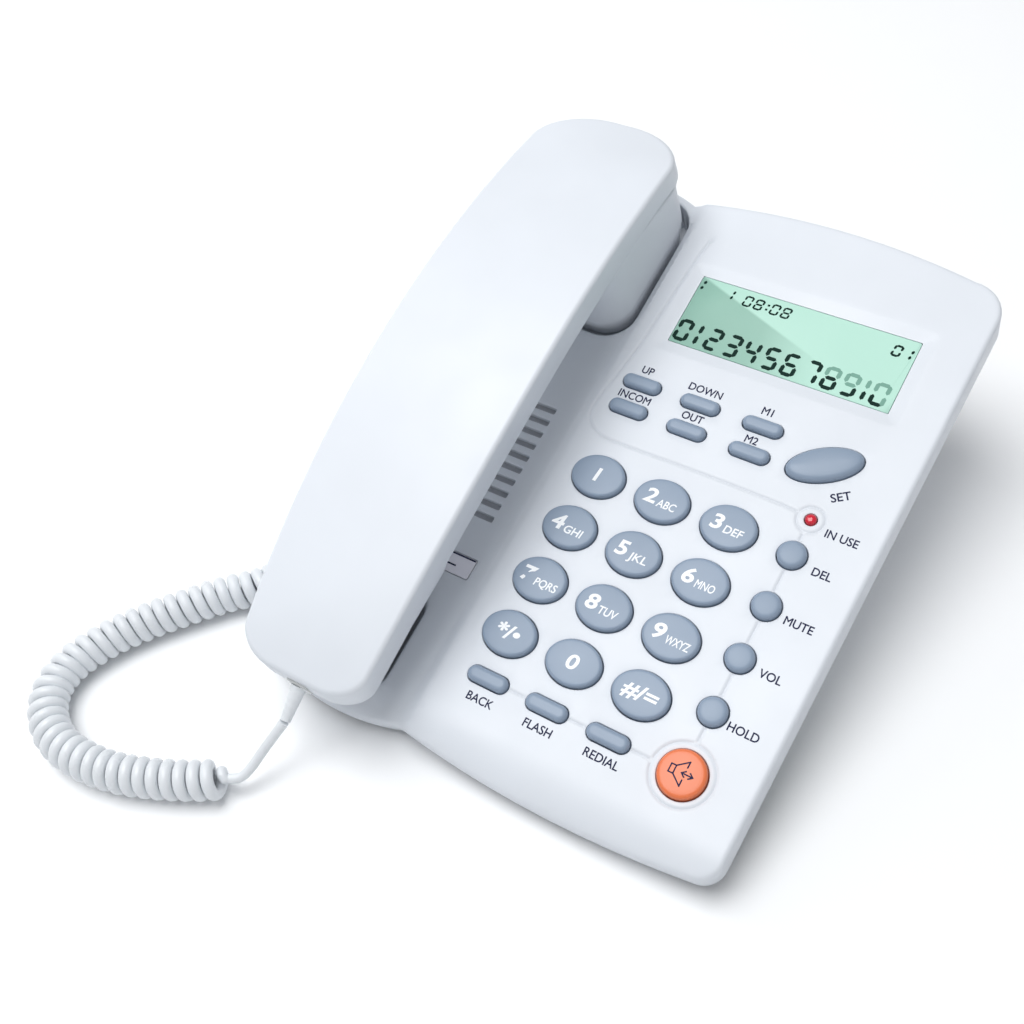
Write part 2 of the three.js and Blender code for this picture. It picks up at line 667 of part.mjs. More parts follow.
// The inner shell's underside: narrower below, drawn in towards both ends
function underRing(v, inset) {
  const sideGrowth = 0.2;
  const half = halfWidth(v, inset) - sideGrowth;
  const top = crestHeight(v);
  const drawIn = 0.955;
  const lowV = GRIP_MIDDLE_V + (v - GRIP_MIDDLE_V) * drawIn;
  const lowN = partingHeight(v) - GRIP_DEPTH + inset * 0.9;
  const lowHalf = Math.max(half - GRIP_NARROWING, 4);
  const sideN = partingHeight(v) - 1.2;
  return [
    new THREE.Vector3(CRADLE_U + half, v, top),
    new THREE.Vector3(CRADLE_U - half, v, top),
    new THREE.Vector3(CRADLE_U - half, v, sideN),
    new THREE.Vector3(CRADLE_U - lowHalf, lowV, lowN),
    new THREE.Vector3(CRADLE_U + lowHalf, lowV, lowN),
    new THREE.Vector3(CRADLE_U + half, v, sideN),
  ].reverse();
}

function gripUnderside(inset) {
  const shrink = 0.98;
  return loft(handsetStations(inset).map((v) => {
    const moved = GRIP_MIDDLE_V + (v - GRIP_MIDDLE_V) * shrink;
    return underRing(moved, inset);
  }));
}

function earCup(inset) {
  const high = 40;
  return loft([
    atHeight(cradleRectangle(23.4 - inset, 103.4 + inset, 149.4 - inset, 10 - inset), -9.6 + inset),
    atHeight(cradleRectangle(25 - inset, 101 + inset, 152 - inset, 10 - inset), 1),
    atHeight(cradleRectangle(25 - inset, 101 + inset, 152 - inset, 10 - inset), high),
  ]);
}

function mouthCup(inset) {
  const high = 26;
  return loft([
    atHeight(cradleRectangle(10.5 - inset, -27 + inset, -3 - inset, 6 - inset), -8 + inset),
    atHeight(cradleRectangle(13.5 - inset, -30 + inset, -inset, 6 - inset), -2),
    atHeight(cradleRectangle(19.3 - inset, -36.6 + inset, 13 - inset, 6 - inset), 12),
    atHeight(cradleRectangle(19.3 - inset, -36.6 + inset, 13 - inset, 6 - inset), high),
  ]);
}

function soundHoles(centreV, ring, count, low, high) {
  const radius = 1.1;
  const holes = [upright(radius, low, high, CRADLE_U, centreV, 8)];
  for (let i = 0; i < count; i += 1) {
    const angle = (2 * Math.PI * i) / count;
    const u = CRADLE_U + ring * Math.cos(angle);
    holes.push(upright(radius, low, high, u, centreV + ring * Math.sin(angle), 8));
  }
  return holes;
}

function innerHandsetShell() {
  const parting = [];
  const samples = 24;
  const from = HANDSET_FRONT - 5;
  const to = HANDSET_BACK + 5;
  for (let i = 0; i <= samples; i += 1) {
    const v = from + ((to - from) * i) / samples;
    parting.push(new THREE.Vector2(v, partingHeight(v) - GAP));
  }
  parting.push(new THREE.Vector2(to, 60), new THREE.Vector2(from, 60));
  const above = sideProfile(parting, -100, 100);
  const thickness = 2;
  const outer = addAll(gripUnderside(0), earCup(0), mouthCup(0));
  const hollow = addAll(gripUnderside(thickness), earCup(thickness), mouthCup(thickness));
  const post = upright(4.4, 18.6, 22, CRADLE_U, SCREW_V, 10);
  const headBore = upright(3.1, 10, 20, CRADLE_U, SCREW_V, 10);
  const shankBore = upright(1.8, 10, 24, CRADLE_U, SCREW_V, 8);
  const earHoles = soundHoles(EAR_V, 6, 6, -12, -5);
  const mouthHoles = soundHoles(MOUTH_V, 4, 2, -12, -4);
  const shell = outer.subtract(above).subtract(hollow).add(post);
  const notch = plugNotch(HANDSET_JACK.middle - PLUG.halfTall - 0.8);
  return cutAll(shell, [headBore, shankBore, notch, ...earHoles, ...mouthHoles]);
}

function handsetJack() {
  const { front, back, middle, halfWide, halfTall } = HANDSET_JACK;
  const wall = 1.4;
  const body = box(
    [CRADLE_U - halfWide, front, middle - halfTall],
    [CRADLE_U + halfWide, back, middle + halfTall],
  );
  const socket = box(
    [CRADLE_U - halfWide + wall, front - 1, middle - halfTall + wall * 0.7],
    [CRADLE_U + halfWide - wall, back - wall, middle + halfTall - wall * 0.7],
  );
  return body.subtract(socket);
}

// ---- Cord --------------------------------------------------------------------------------------
// A tapered boot from one point along a direction
function boot(start, direction, length, startRadius, endRadius) {
  const geometry = new THREE.CylinderGeometry(endRadius, startRadius, length, 10);
  geometry.translate(0, length / 2, 0);
  const turn = new THREE.Quaternion().setFromUnitVectors(
    new THREE.Vector3(0, 1, 0),
    direction.clone().normalize(),
  );
  geometry.applyQuaternion(turn);
  geometry.translate(start.x, start.y, start.z);
  return solid(geometry);
}

function handsetPlug() {
  const { middle, front } = HANDSET_JACK;
  const bodyFront = HANDSET_FRONT - 1.8;
  const body = box(
    [CRADLE_U - PLUG.halfWide, bodyFront, middle - PLUG.halfTall],
    [CRADLE_U + PLUG.halfWide, front + 9.6, middle + PLUG.halfTall],
  );
  const start = new THREE.Vector3(CRADLE_U, bodyFront + 0.4, middle);
  const sink = THREE.MathUtils.degToRad(20);
  const direction = new THREE.Vector3(0, -Math.cos(sink), -Math.sin(sink));
  return body.add(boot(start, direction, 9, PLUG.bootWide, PLUG.bootNarrow));
}

function basePlug() {
  const { mouth, y, z } = BASE_JACK;
  const reachOut = 4.9;
  const reachIn = 11;
  const body = box(
    [mouth - reachOut, y - PLUG.halfWide, z - PLUG.halfTall],
    [mouth + reachIn, y + PLUG.halfWide, z + PLUG.halfTall],
  );
  const start = new THREE.Vector3(mouth - reachOut + 0.4, y, z);
  return body.add(boot(start, new THREE.Vector3(-1, 0, 0), 7.4, PLUG.bootWide, PLUG.bootNarrow));
}

function tube(points, radius, sides, steps) {
  const path = new THREE.CatmullRomCurve3(points.map(([x, y, z]) => new THREE.Vector3(x, y, z)));
  const section = new THREE.Shape(arc(0, 0, radius, 0, 360 - 360 / sides, sides - 1));
  return new THREE.ExtrudeGeometry(section, { steps, extrudePath: path });
}

// The coil lies on the surface in a hook to the left of the base
const COIL_ROUTE = [
  [-88.5, -57, COIL_HEIGHT], [-90, -64, COIL_HEIGHT], [-94.2, -70, COIL_HEIGHT],
  [-101.8, -77.5, COIL_HEIGHT], [-109.7, -87.2, COIL_HEIGHT], [-117.6, -97.8, COIL_HEIGHT],
  [-123.8, -108.6, COIL_HEIGHT], [-127.3, -119.4, COIL_HEIGHT], [-126.5, -129, COIL_HEIGHT],
  [-121.2, -136.6, COIL_HEIGHT], [-113.4, -141.2, COIL_HEIGHT], [-103, -142.8, COIL_HEIGHT],
  [-90.2, -141.2, COIL_HEIGHT], [-78, -137, COIL_HEIGHT], [-66.8, -131.6, COIL_HEIGHT],
  [-57.6, -125.8, COIL_HEIGHT],
];
const BASE_LEAD_ROUTE = [
  [-88.4, -56.6, COIL_HEIGHT], [-88.1, -46, 7], [-87.8, -37.6, 9.4], [-87, -31.6, 11.2],
  [-84.2, -28.6, 11.5], [-79.6, -28, 11.5],
];
const HANDSET_LEAD_ROUTE = [
  [-57.1, -125.4, COIL_HEIGHT], [-55.2, -124.1, 6.4], [-53.6, -120.8, 8], [-52.2, -116.4, 11],
  [-50.2, -111.8, 14.9], [-48.35, -108.0, 18.4],
];

// ---- Assembly ----------------------------------------------------------------------------------
const keys = keyList();
addPart(panel, 'base_top_shell', topShell(keys), SHELL_LOOK);
addPart(telephone, 'base_bottom_shell', bottomShell(), SHELL_LOOK);
for (const key of keys) {
  addPart(panel, key.name, keyBody(key), key.name === 'key_speaker' ? ORANGE_LOOK : KEY_LOOK);
}

const windowLow = -DISPLAY.sunk - DISPLAY.thickness;
addPart(panel, 'display_window', prism(displayRectangle(0), windowLow, -DISPLAY.sunk), WINDOW_LOOK);
addPart(panel, 'display_module', box(
  [DISPLAY.u - 37, DISPLAY.v - 16, -5.8],
  [DISPLAY.u + 37, DISPLAY.v + 16, -2.6],
), STEEL_LOOK);
const ledDome = upright(LED.radius, -0.2, 0.6, LED.u, LED.v, 10, LED.radius * 0.55);
addPart(panel, 'in_use_light', upright(LED.radius, -5.2, -0.1, LED.u, LED.v, 10).add(ledDome), RED_LOOK);
addPart(panel, 'keypad_mat', box([-9.5, -22.5, -7.2], [72, 92, -5.6]), RUBBER_LOOK);
addPart(panel, 'main_board', box([-11, -20, -9.2], [74, 137, -7.6]), BOARD_LOOK);
addPart(panel, 'index_card', box(
  [CARD.left, CARD.front, -CRADLE_STEP - CARD.thickness],
  [CARD.right, CARD.back, -CRADLE_STEP],
), PAPER_LOOK);
addPart(panel, 'hook_plunger', hookPlunger(), SHELL_LOOK);
addPart(panel, 'hook_switch', box(
  [CRADLE_U - 7, HOOK.v - 4, -34],
  [CRADLE_U + 7, HOOK.v + 4, EAR_WELL.floor - HOOK.length - 0.6],
), DARK_LOOK);
addPart(panel, 'hands_free_microphone', upright(4.5, -8.6, -4.2, 35, -30, 12), DARK_LOOK);

const loudspeaker = addPart(panel, 'loudspeaker', turnedDriver(24, 13, 4, 16), DARK_LOOK);
loudspeaker.position.set(CRADLE_U, 50, -4.9);

addPart(telephone, 'base_handset_jack', baseJack(), DARK_LOOK);
addPart(telephone, 'line_jack', lineJack(), DARK_LOOK);
FOOT_PLACES.forEach(([x, y], index) => {
  addPart(telephone, `foot_${index + 1}`, upright(
    FOOT_RADIUS, 0, TRAY_UNDERSIDE - GAP, x, y, 14,
  ), RUBBER_LOOK);
});
for (const post of SCREW_POSTS) {
  const headTop = post.top - 3 - GAP;
  addPart(telephone, post.name, screw(2.9, headTop - 2, headTop, post.top + 4.6, post.x, post.y), STEEL_LOOK);
}

addPart(panel, 'handset_outer_shell', outerHandsetShell(), SHELL_LOOK);
addPart(panel, 'handset_inner_shell', innerHandsetShell(), SHELL_LOOK);
addPart(panel, 'earpiece_receiver', upright(15, -7.2, 0.4, CRADLE_U, EAR_V, 16), DARK_LOOK);
addPart(panel, 'handset_microphone', upright(4.6, -5.6, -1, CRADLE_U, MOUTH_V, 12), DARK_LOOK);
addPart(panel, 'handset_weight', box([CRADLE_U - 11, 30, 24], [CRADLE_U + 11, 76, 29]), STEEL_LOOK);
addPart(panel, 'handset_screw', screw(2.7, 17.9, 19.7, 28.6, CRADLE_U, SCREW_V), STEEL_LOOK);
addPart(panel, 'handset_jack', handsetJack(), DARK_LOOK);

addPart(panel, 'plug_handset', handsetPlug(), CLEAR_LOOK);
addPart(telephone, 'plug_base', basePlug(), CLEAR_LOOK);
addPart(telephone, 'cord_coil', tube(COIL_ROUTE, COIL_RADIUS, 10, 36), CORD_LOOK);
addPart(telephone, 'cord_lead_base', tube(BASE_LEAD_ROUTE, CORD_RADIUS, 8, 12), CORD_LOOK);
addPart(telephone, 'cord_lead_handset', tube(HANDSET_LEAD_ROUTE, CORD_RADIUS, 8, 10), CORD_LOOK);

export default telephone;
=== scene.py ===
import json
import math

import bpy
import numpy as np
from mathutils import Matrix, Vector
from mathutils.geometry import delaunay_2d_cdt


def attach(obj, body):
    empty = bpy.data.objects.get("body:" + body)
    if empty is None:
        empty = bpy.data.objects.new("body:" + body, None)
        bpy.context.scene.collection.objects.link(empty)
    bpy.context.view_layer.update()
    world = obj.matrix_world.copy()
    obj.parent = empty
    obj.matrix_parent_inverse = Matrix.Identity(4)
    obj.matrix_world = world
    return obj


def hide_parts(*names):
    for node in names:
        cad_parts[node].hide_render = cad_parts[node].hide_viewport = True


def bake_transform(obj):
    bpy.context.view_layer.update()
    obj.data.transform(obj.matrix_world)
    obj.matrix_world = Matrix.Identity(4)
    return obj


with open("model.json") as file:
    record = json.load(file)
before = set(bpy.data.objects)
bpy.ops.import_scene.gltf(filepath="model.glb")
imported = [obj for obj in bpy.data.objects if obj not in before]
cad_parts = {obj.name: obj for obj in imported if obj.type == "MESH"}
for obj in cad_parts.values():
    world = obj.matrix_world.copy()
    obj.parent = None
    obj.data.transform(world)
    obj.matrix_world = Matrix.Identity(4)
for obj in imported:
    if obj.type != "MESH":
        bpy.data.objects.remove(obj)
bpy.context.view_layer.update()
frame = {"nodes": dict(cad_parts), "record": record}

# ---- Places and sizes shared with the CAD model ---------------------------------------------------
TILT = math.radians(15)
PANEL_ZERO = (-5.5, -56.0, 23.0)
MM = 0.001
KEY_PITCH_U, KEY_PITCH_V = 21.0, 17.95
CRADLE_U = -42.8
CRADLE_DROP = 2.0
STEP_U, STEP_HALF = -16.0, 2.2
LIP_START, LIP_REACH, LIP_DROP = -26.0, 14.6, 9.0
SKIRT_DEPTH = 10.0
SHELL_THICK = 2.2
DISPLAY_U, DISPLAY_V, DISPLAY_WIDE, DISPLAY_HIGH, DISPLAY_SUNK = 32.0, 117.2, 70.0, 25.0, 0.8
LED_U, LED_V, LED_RADIUS = 61.2, 65.6, 1.6
NUMBER_U, NUMBER_V = -0.3, 0.4
SPEAKER_U, SPEAKER_V = 61.2, -14.0
SET_U, SET_V = 57.8, 82.5
SIDE_KEY_U = 61.0
SIDE_KEY_V = [4.5 + 16.4 * step for step in range(4)]
LOWER_PILL_U = [0.7 + 19.2 * step for step in range(3)]
LOWER_PILL_V = -13.9
UPPER_PILL_U = [-2.8, 16.6, 36.7]
UPPER_PILL_V = [87.2, 78.0]

# ---- Camera -----------------------------------------------------------------------------------------
CAMERA_PLACE = (0.12907, -0.20698, 0.31997)
CAMERA_RIGHT = (0.84053, 0.53057, -0.10958)
CAMERA_UP = (-0.35431, 0.69134, 0.62969)
CAMERA_BACK = (0.40984, -0.49045, 0.76908)
camera_data = bpy.data.cameras.new("camera")
camera_data.lens = 44.52
camera_data.sensor_width = 36.0
camera_data.clip_start = 0.01
camera = bpy.data.objects.new("camera", camera_data)
bpy.context.scene.collection.objects.link(camera)
camera.matrix_world = Matrix.Translation(CAMERA_PLACE) @ Matrix(
    [[CAMERA_RIGHT[i], CAMERA_UP[i], CAMERA_BACK[i]] for i in range(3)]).to_4x4()
bpy.context.scene.camera = camera


# ---- Helpers ------------------------------------------------------------------------------------------
def on_panel(points):
    """Panel millimetres to metres in the object's frame."""
    p = np.asarray(points, float)
    u, v, n = p[..., 0], p[..., 1], p[..., 2]
    c, s = math.cos(TILT), math.sin(TILT)
    x = u + PANEL_ZERO[0]
    y = v * c - n * s + PANEL_ZERO[1]
    z = v * s + n * c + PANEL_ZERO[2]
    return np.stack([x, y, z], -1) * MM


def plain(points):
    return np.asarray(points, float) * MM


def make(name, verts, faces, material, body=None, stands_for=(), slot=None, sharp=38.0, merge=False):
    """A mesh piece in metres that rides on a body."""
    mesh = bpy.data.meshes.new(name)
    mesh.from_pydata([tuple(map(float, v)) for v in verts], [], [tuple(map(int, f)) for f in faces])
    mesh.validate()
    obj = bpy.data.objects.new(name, mesh)
    bpy.context.scene.collection.objects.link(obj)
    if merge:
        import bmesh
        work = bmesh.new()
        work.from_mesh(mesh)
        bmesh.ops.remove_doubles(work, verts=work.verts, dist=1e-6)
        bmesh.ops.recalc_face_normals(work, faces=work.faces)
        work.to_mesh(mesh)
        work.free()
    mesh.polygons.foreach_set("use_smooth", [True] * len(mesh.polygons))
    mesh.set_sharp_from_angle(angle=math.radians(sharp))
    mesh.materials.append(material)
    settle(obj, body, stands_for, slot)
    return obj


def settle(obj, body, stands_for=(), slot=None):
    if body:
        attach(obj, body)
    if stands_for:
        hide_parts(*stands_for)


def stitched(rings, first_cap=True, last_cap=True):
    """Closed rings with equal counts joined in order."""
    count = len(rings[0])
    verts = np.concatenate(rings)
    faces = []
    for r in range(len(rings) - 1):
        a, b = r * count, (r + 1) * count
        faces += [(a + i, a + (i + 1) % count, b + (i + 1) % count, b + i) for i in range(count)]
    if first_cap:
        faces.append(tuple(reversed(range(count))))
    if last_cap:
        faces.append(tuple((len(rings) - 1) * count + i for i in range(count)))
    return verts, faces


def joined(parts):
    """Several (verts, faces) pairs as one."""
    verts, faces, start = [], [], 0
    for part_verts, part_faces in parts:
        verts.append(np.asarray(part_verts, float))
        faces += [tuple(start + i for i in face) for face in part_faces]
        start += len(part_verts)
    return np.concatenate(verts), faces


def arc(cx, cy, radius, start, end, steps):
    angles = np.radians(np.linspace(start, end, steps + 1))
    return np.stack([cx + radius * np.cos(angles), cy + radius * np.sin(angles)], -1)


def rounded_rectangle(left, right, front, back, radius, steps=6, spacing=2.5, counts=None):
    corners = [
        arc(left + radius, front + radius, radius, 180, 270, steps),
        arc(right - radius, front + radius, radius, 270, 360, steps),
        arc(right - radius, back - radius, radius, 0, 90, steps),
        arc(left + radius, back - radius, radius, 90, 180, steps),
    ]
    counts = counts or ((right - left - 2 * radius) / spacing, (back - front - 2 * radius) / spacing)
    return closed_path(corners, [0, 0, 0, 0], list(counts) * 2)


def closed_path(corners, bows, counts):
    """Corner arcs joined by straight or bowed edges, each in a stated number of steps."""
    out = []
    for i, corner in enumerate(corners):
        out.append(corner)
        start, end = corner[-1], corners[(i + 1) % len(corners)][0]
        steps = max(2, int(round(counts[i])))
        t = np.arange(1, steps)[:, None] / steps
        edge = end - start
        normal = np.array([edge[1], -edge[0]]) / np.linalg.norm(edge)
        out.append(start + edge * t + normal * (bows[i] * 4 * t * (1 - t)))
    return np.concatenate(out)


def lifted(outline, height):
    """A plan outline at one height, or at a height for each point."""
    return np.column_stack([outline, np.broadcast_to(height, len(outline))])


def inside(points, loop):
    """Which of the points lie in a closed loop."""
    x, y = points[:, 0], points[:, 1]
    hit = np.zeros(len(points), bool)
    ahead = np.roll(loop, -1, 0)
    for (x0, y0), (x1, y1) in zip(loop, ahead):
        if y0 == y1:
            continue
        crosses = (y0 > y) != (y1 > y)
        hit ^= crosses & (x < (x1 - x0) * (y - y0) / (y1 - y0) + x0)
    return hit


def distance_to(points, line):
    """Distance from each point to an open line of points."""
    best = np.full(len(points), 1e9)
    for a, b in zip(line[:-1], line[1:]):
        edge = b - a
        t = np.clip((points - a) @ edge / (edge @ edge), 0, 1)
        best = np.minimum(best, np.linalg.norm(points - a - t[:, None] * edge, axis=1))
    return best


def smooth_step(t):
    t = np.clip(t, 0, 1)
    return t * t * (3 - 2 * t)


# ---- Materials ------------------------------------------------------------------------------------------
class Nodes:
    """A principled material with its texture coordinates, built up node by node."""

    def __init__(self, name):
        self.material = bpy.data.materials.new(name)
        self.material.use_nodes = True
        self.tree = self.material.node_tree
        self.shader = self.tree.nodes["Principled BSDF"]
        self.where = self.add("ShaderNodeTexCoord").outputs["Object"]

    def add(self, kind, **settings):
        node = self.tree.nodes.new(kind)
        for key, value in settings.items():
            setattr(node, key, value)
        return node

    def link(self, out, into):
        self.tree.links.new(out, into)

    def noise(self, scale, detail=3.0, rough=0.5):
        node = self.add("ShaderNodeTexNoise")
        node.inputs["Scale"].default_value = scale
        node.inputs["Detail"].default_value = detail
        node.inputs["Roughness"].default_value = rough
        self.link(self.where, node.inputs["Vector"])
        return node.outputs["Fac"]

    def spread(self, value, low, high, from_low=0.3, from_high=0.7):
        node = self.add("ShaderNodeMapRange")
        node.inputs["From Min"].default_value = from_low
        node.inputs["From Max"].default_value = from_high
        node.inputs["To Min"].default_value = low
        node.inputs["To Max"].default_value = high
        self.link(value, node.inputs["Value"])
        return node.outputs["Result"]

    def blend(self, factor, first, second):
        node = self.add("ShaderNodeMix", data_type="RGBA")
        self.link(factor, node.inputs["Factor"])
        for socket, value in ((node.inputs[6], first), (node.inputs[7], second)):
            if isinstance(value, tuple):
                socket.default_value = (*value, 1.0)
            else:
                self.link(value, socket)
        return node.outputs[2]

    def bump(self, height, distance, strength=1.0):
        node = self.add("ShaderNodeBump")
        node.inputs["Strength"].default_value = strength
        node.inputs["Distance"].default_value = distance
        self.link(height, node.inputs["Height"])
        self.link(node.outputs["Normal"], self.shader.inputs["Normal"])


def scaled(color, factor):
    return tuple(min(1.0, c * factor) for c in color)


def moulded(name, color, rough, grain=2600.0, depth=0.000012, wear=0.05, mottled=0.035, **extra):
    """Moulded plastic: fine spark-erosion grain, slow colour drift, paler rubbed edges."""
    n = Nodes(name)
    drift = n.spread(n.noise(22.0), 0.0, 1.0)
    tone = n.blend(drift, scaled(color, 1 - mottled), scaled(color, 1 + mottled * 0.6))
    edge = n.add("ShaderNodeNewGeometry").outputs["Pointiness"]
    rubbed = n.spread(edge, 0.0, wear, 0.53, 0.62)
    tone = n.blend(rubbed, tone, scaled(color, 1.25))
    n.link(tone, n.shader.inputs["Base Color"])
    fine = n.noise(grain, 2.0)
    patch = n.noise(65.0, 4.0)
    n.link(n.spread(patch, rough - 0.05, rough + 0.06), n.shader.inputs["Roughness"])
    n.bump(fine, depth)
    for key, value in extra.items():
        n.shader.inputs[key.replace("_", " ")].default_value = value
    return n.material


def metal(name, color, rough):
    n = Nodes(name)
    brushed = n.noise(900.0, 4.0, 0.7)
    n.link(n.blend(n.spread(brushed, 0, 1), scaled(color, 0.85), color), n.shader.inputs["Base Color"])
    n.link(n.spread(brushed, rough - 0.08, rough + 0.12), n.shader.inputs["Roughness"])
    n.shader.inputs["Metallic"].default_value = 1.0
    n.bump(brushed, 0.00001)
    return n.material


SHELL_COLOR = (0.70, 0.735, 0.785)
SHELL = moulded("shell_plastic", SHELL_COLOR, 0.40)
HANDSET = moulded("handset_plastic", SHELL_COLOR, 0.42)
KEY = moulded("key_plastic", (0.255, 0.325, 0.425), 0.40, wear=0.16, mottled=0.05)
ORANGE = moulded("orange_plastic", (0.78, 0.19, 0.07), 0.30, wear=0.10)
CORD = moulded("cord_plastic", (0.74, 0.77, 0.80), 0.30, grain=1500.0)
BLACK = moulded("black_plastic", (0.018, 0.019, 0.022), 0.45)
RUBBER = moulded("rubber", (0.03, 0.031, 0.034), 0.80, grain=900.0, depth=0.00004)
BOARD = moulded("board", (0.02, 0.13, 0.06), 0.50)
PAPER = moulded("card", (0.84, 0.83, 0.90), 0.75, grain=700.0, depth=0.00002)
NAVY = moulded("legend_ink", (0.020, 0.024, 0.066), 0.6, Specular_IOR_Level=0.12)
WHITE = moulded("key_legend_ink", (0.88, 0.90, 0.92), 0.50)
RED = moulded("red_lens", (0.62, 0.008, 0.03), 0.12, Coat_Weight=0.6)
STEEL = metal("zinc_plate", (0.60, 0.61, 0.63), 0.38)
GOLD = metal("gold_plate", (0.83, 0.62, 0.25), 0.28)
CLOTH = moulded("speaker_cloth", (0.40, 0.41, 0.44), 0.85, grain=1800.0, depth=0.00006)
IRON = metal("weight_iron", (0.20, 0.20, 0.21), 0.55)
LCD_INK = moulded("display_segments", (0.004, 0.024, 0.018), 0.5, Specular_IOR_Level=0.08)
LCD_FAINT = moulded("display_faint_segments", (0.19, 0.37, 0.30), 0.5, Specular_IOR_Level=0.08)
CLEAR = moulded("plug_plastic", (0.60, 0.62, 0.62), 0.16)


def display_material():
    """Pale green display with a darker slanting patch of painted shade over its left part."""
    n = Nodes("display_film")
    place = n.add("ShaderNodeMapping", vector_type="TEXTURE")
    place.inputs["Location"].default_value = plain(PANEL_ZERO)
    place.inputs["Rotation"].default_value = (TILT, 0, 0)
    n.link(n.where, place.inputs["Vector"])
    split = n.add("ShaderNodeSeparateXYZ")
    n.link(place.outputs["Vector"], split.inputs["Vector"])
    # Painted shade: below this slanting line the film is coloured darker, fading out towards the right.
    left_top, right_low = (-2.5, 129.5), (38.1, 115.0)
    slope = (right_low[1] - left_top[1]) / (right_low[0] - left_top[0])
    fall = n.add("ShaderNodeMath", operation="MULTIPLY_ADD")
    n.link(split.outputs["X"], fall.inputs[0])
    fall.inputs[1].default_value = slope
    fall.inputs[2].default_value = (left_top[1] - slope * left_top[0]) * MM
    under = n.add("ShaderNodeMath", operation="SUBTRACT")
    n.link(fall.outputs[0], under.inputs[0])
    n.link(split.outputs["Y"], under.inputs[1])
    below = n.spread(under.outputs[0], 0.0, 1.0, -0.3 * MM, 0.5 * MM)
    near = n.spread(split.outputs["X"], 1.0, 0.0, 22.0 * MM, 44.0 * MM)
    painted_shade = n.add("ShaderNodeMath", operation="MULTIPLY")
    n.link(below, painted_shade.inputs[0])
    n.link(near, painted_shade.inputs[1])
    grain = n.spread(n.noise(4000.0, 1.0), 0.0, 0.10)
    base = n.blend(grain, (0.46, 0.73, 0.62), (0.42, 0.68, 0.575))
    # Mixes the painted shade colour into the film's base colour.
    n.link(n.blend(painted_shade.outputs[0], base, (0.285, 0.50, 0.41)), n.shader.inputs["Base Color"])
    n.link(n.spread(n.noise(80.0), 0.34, 0.44), n.shader.inputs["Roughness"])
    n.shader.inputs["Specular IOR Level"].default_value = 0.25
    n.bump(n.noise(3000.0, 1.0), 0.000002)
    return n.material


LCD = display_material()
SLOT_LOOK = {
    "shell": SHELL, "key": KEY, "orange_key": ORANGE, "window": LCD, "metal": STEEL, "red_lens": RED,
    "rubber": RUBBER, "board": BOARD, "paper": PAPER, "dark_plastic": BLACK, "clear_plastic": CLEAR,
    "cord": CORD, "weight_metal": IRON,
}
for part in frame["record"]["subparts"]:
    node = frame["nodes"][part["node"]]
    node.data.materials.clear()
    node.data.materials.append(SLOT_LOOK[part["material_slot"]])

# ---- Cord -------------------------------------------------------------------------------------------------
COIL_HEIGHT = 6.2
CORD_RADIUS = 1.45
COIL_WIRE_RADIUS = 1.86
COIL_RADIUS = 6.0
COIL_PITCH = 4.0
BASE_LEAD = [
    (-79.6, -28, 11.5), (-84.2, -28.6, 11.5), (-87, -31.6, 11.2), (-87.8, -37.6, 9.4), (-88.1, -46, 7),
]
COIL = [
    (-88.5, -57), (-90, -64), (-94.2, -70), (-101.8, -77.5), (-109.7, -87.2), (-117.6, -97.8),
    (-123.8, -108.6), (-127.3, -119.4), (-126.5, -129), (-121.2, -136.6), (-113.4, -141.2),
    (-103, -142.8), (-90.2, -141.2), (-78, -137), (-66.8, -131.6), (-57.6, -125.8),
]
HANDSET_LEAD = [
    (-55.2, -124.1, 6.4), (-53.6, -120.8, 8), (-52.2, -116.4, 11), (-50.2, -111.8, 14.9),
    (-48.35, -108.0, 18.4),
]


def spline(points, spacing):
    """A smooth curve through the points, in even steps, and its length up to each point."""
    p = np.asarray(points, float)
    ends = np.vstack([2 * p[0] - p[1], p, 2 * p[-1] - p[-2]])
    t = np.linspace(0, 1, 40, endpoint=False)[:, None]
    dense = []
    for a, b, c, d in zip(ends[:-3], ends[1:-2], ends[2:-1], ends[3:]):
        dense.append(0.5 * (2 * b + (c - a) * t + (2 * a - 5 * b + 4 * c - d) * t**2
                            + (3 * b - a - 3 * c + d) * t**3))
    dense = np.vstack(dense + [p[-1:]])
    run = np.concatenate([[0], np.cumsum(np.linalg.norm(np.diff(dense, axis=0), axis=1))])
    count = int(round(run[-1] / spacing)) + 1
    even = np.linspace(0, run[-1], count)
    return np.stack([np.interp(even, run, dense[:, k]) for k in range(3)], -1), even


def frames_along(path):
    """Two directions across the path at each point, without twist."""
    tangent = np.gradient(path, axis=0)
    tangent /= np.linalg.norm(tangent, axis=1)[:, None]
    across = np.cross(tangent[0], (0, 0, 1.0))
    out = []
    for t in tangent:
        across = across - t * (across @ t)
        across /= np.linalg.norm(across)
        out.append((across, np.cross(t, across)))
    return np.array([o[0] for o in out]), np.array([o[1] for o in out])


def tube(path, radius, sides):
    """A closed tube along the path; radius may differ from point to point."""
    first, second = frames_along(path)
    radii = np.broadcast_to(radius, len(path))
    angles = np.arange(sides) * 2 * math.pi / sides
    rings = [p + r * (np.outer(np.cos(angles), a) + np.outer(np.sin(angles), b))
             for p, a, b, r in zip(path, first, second, radii)]
    return stitched(rings)


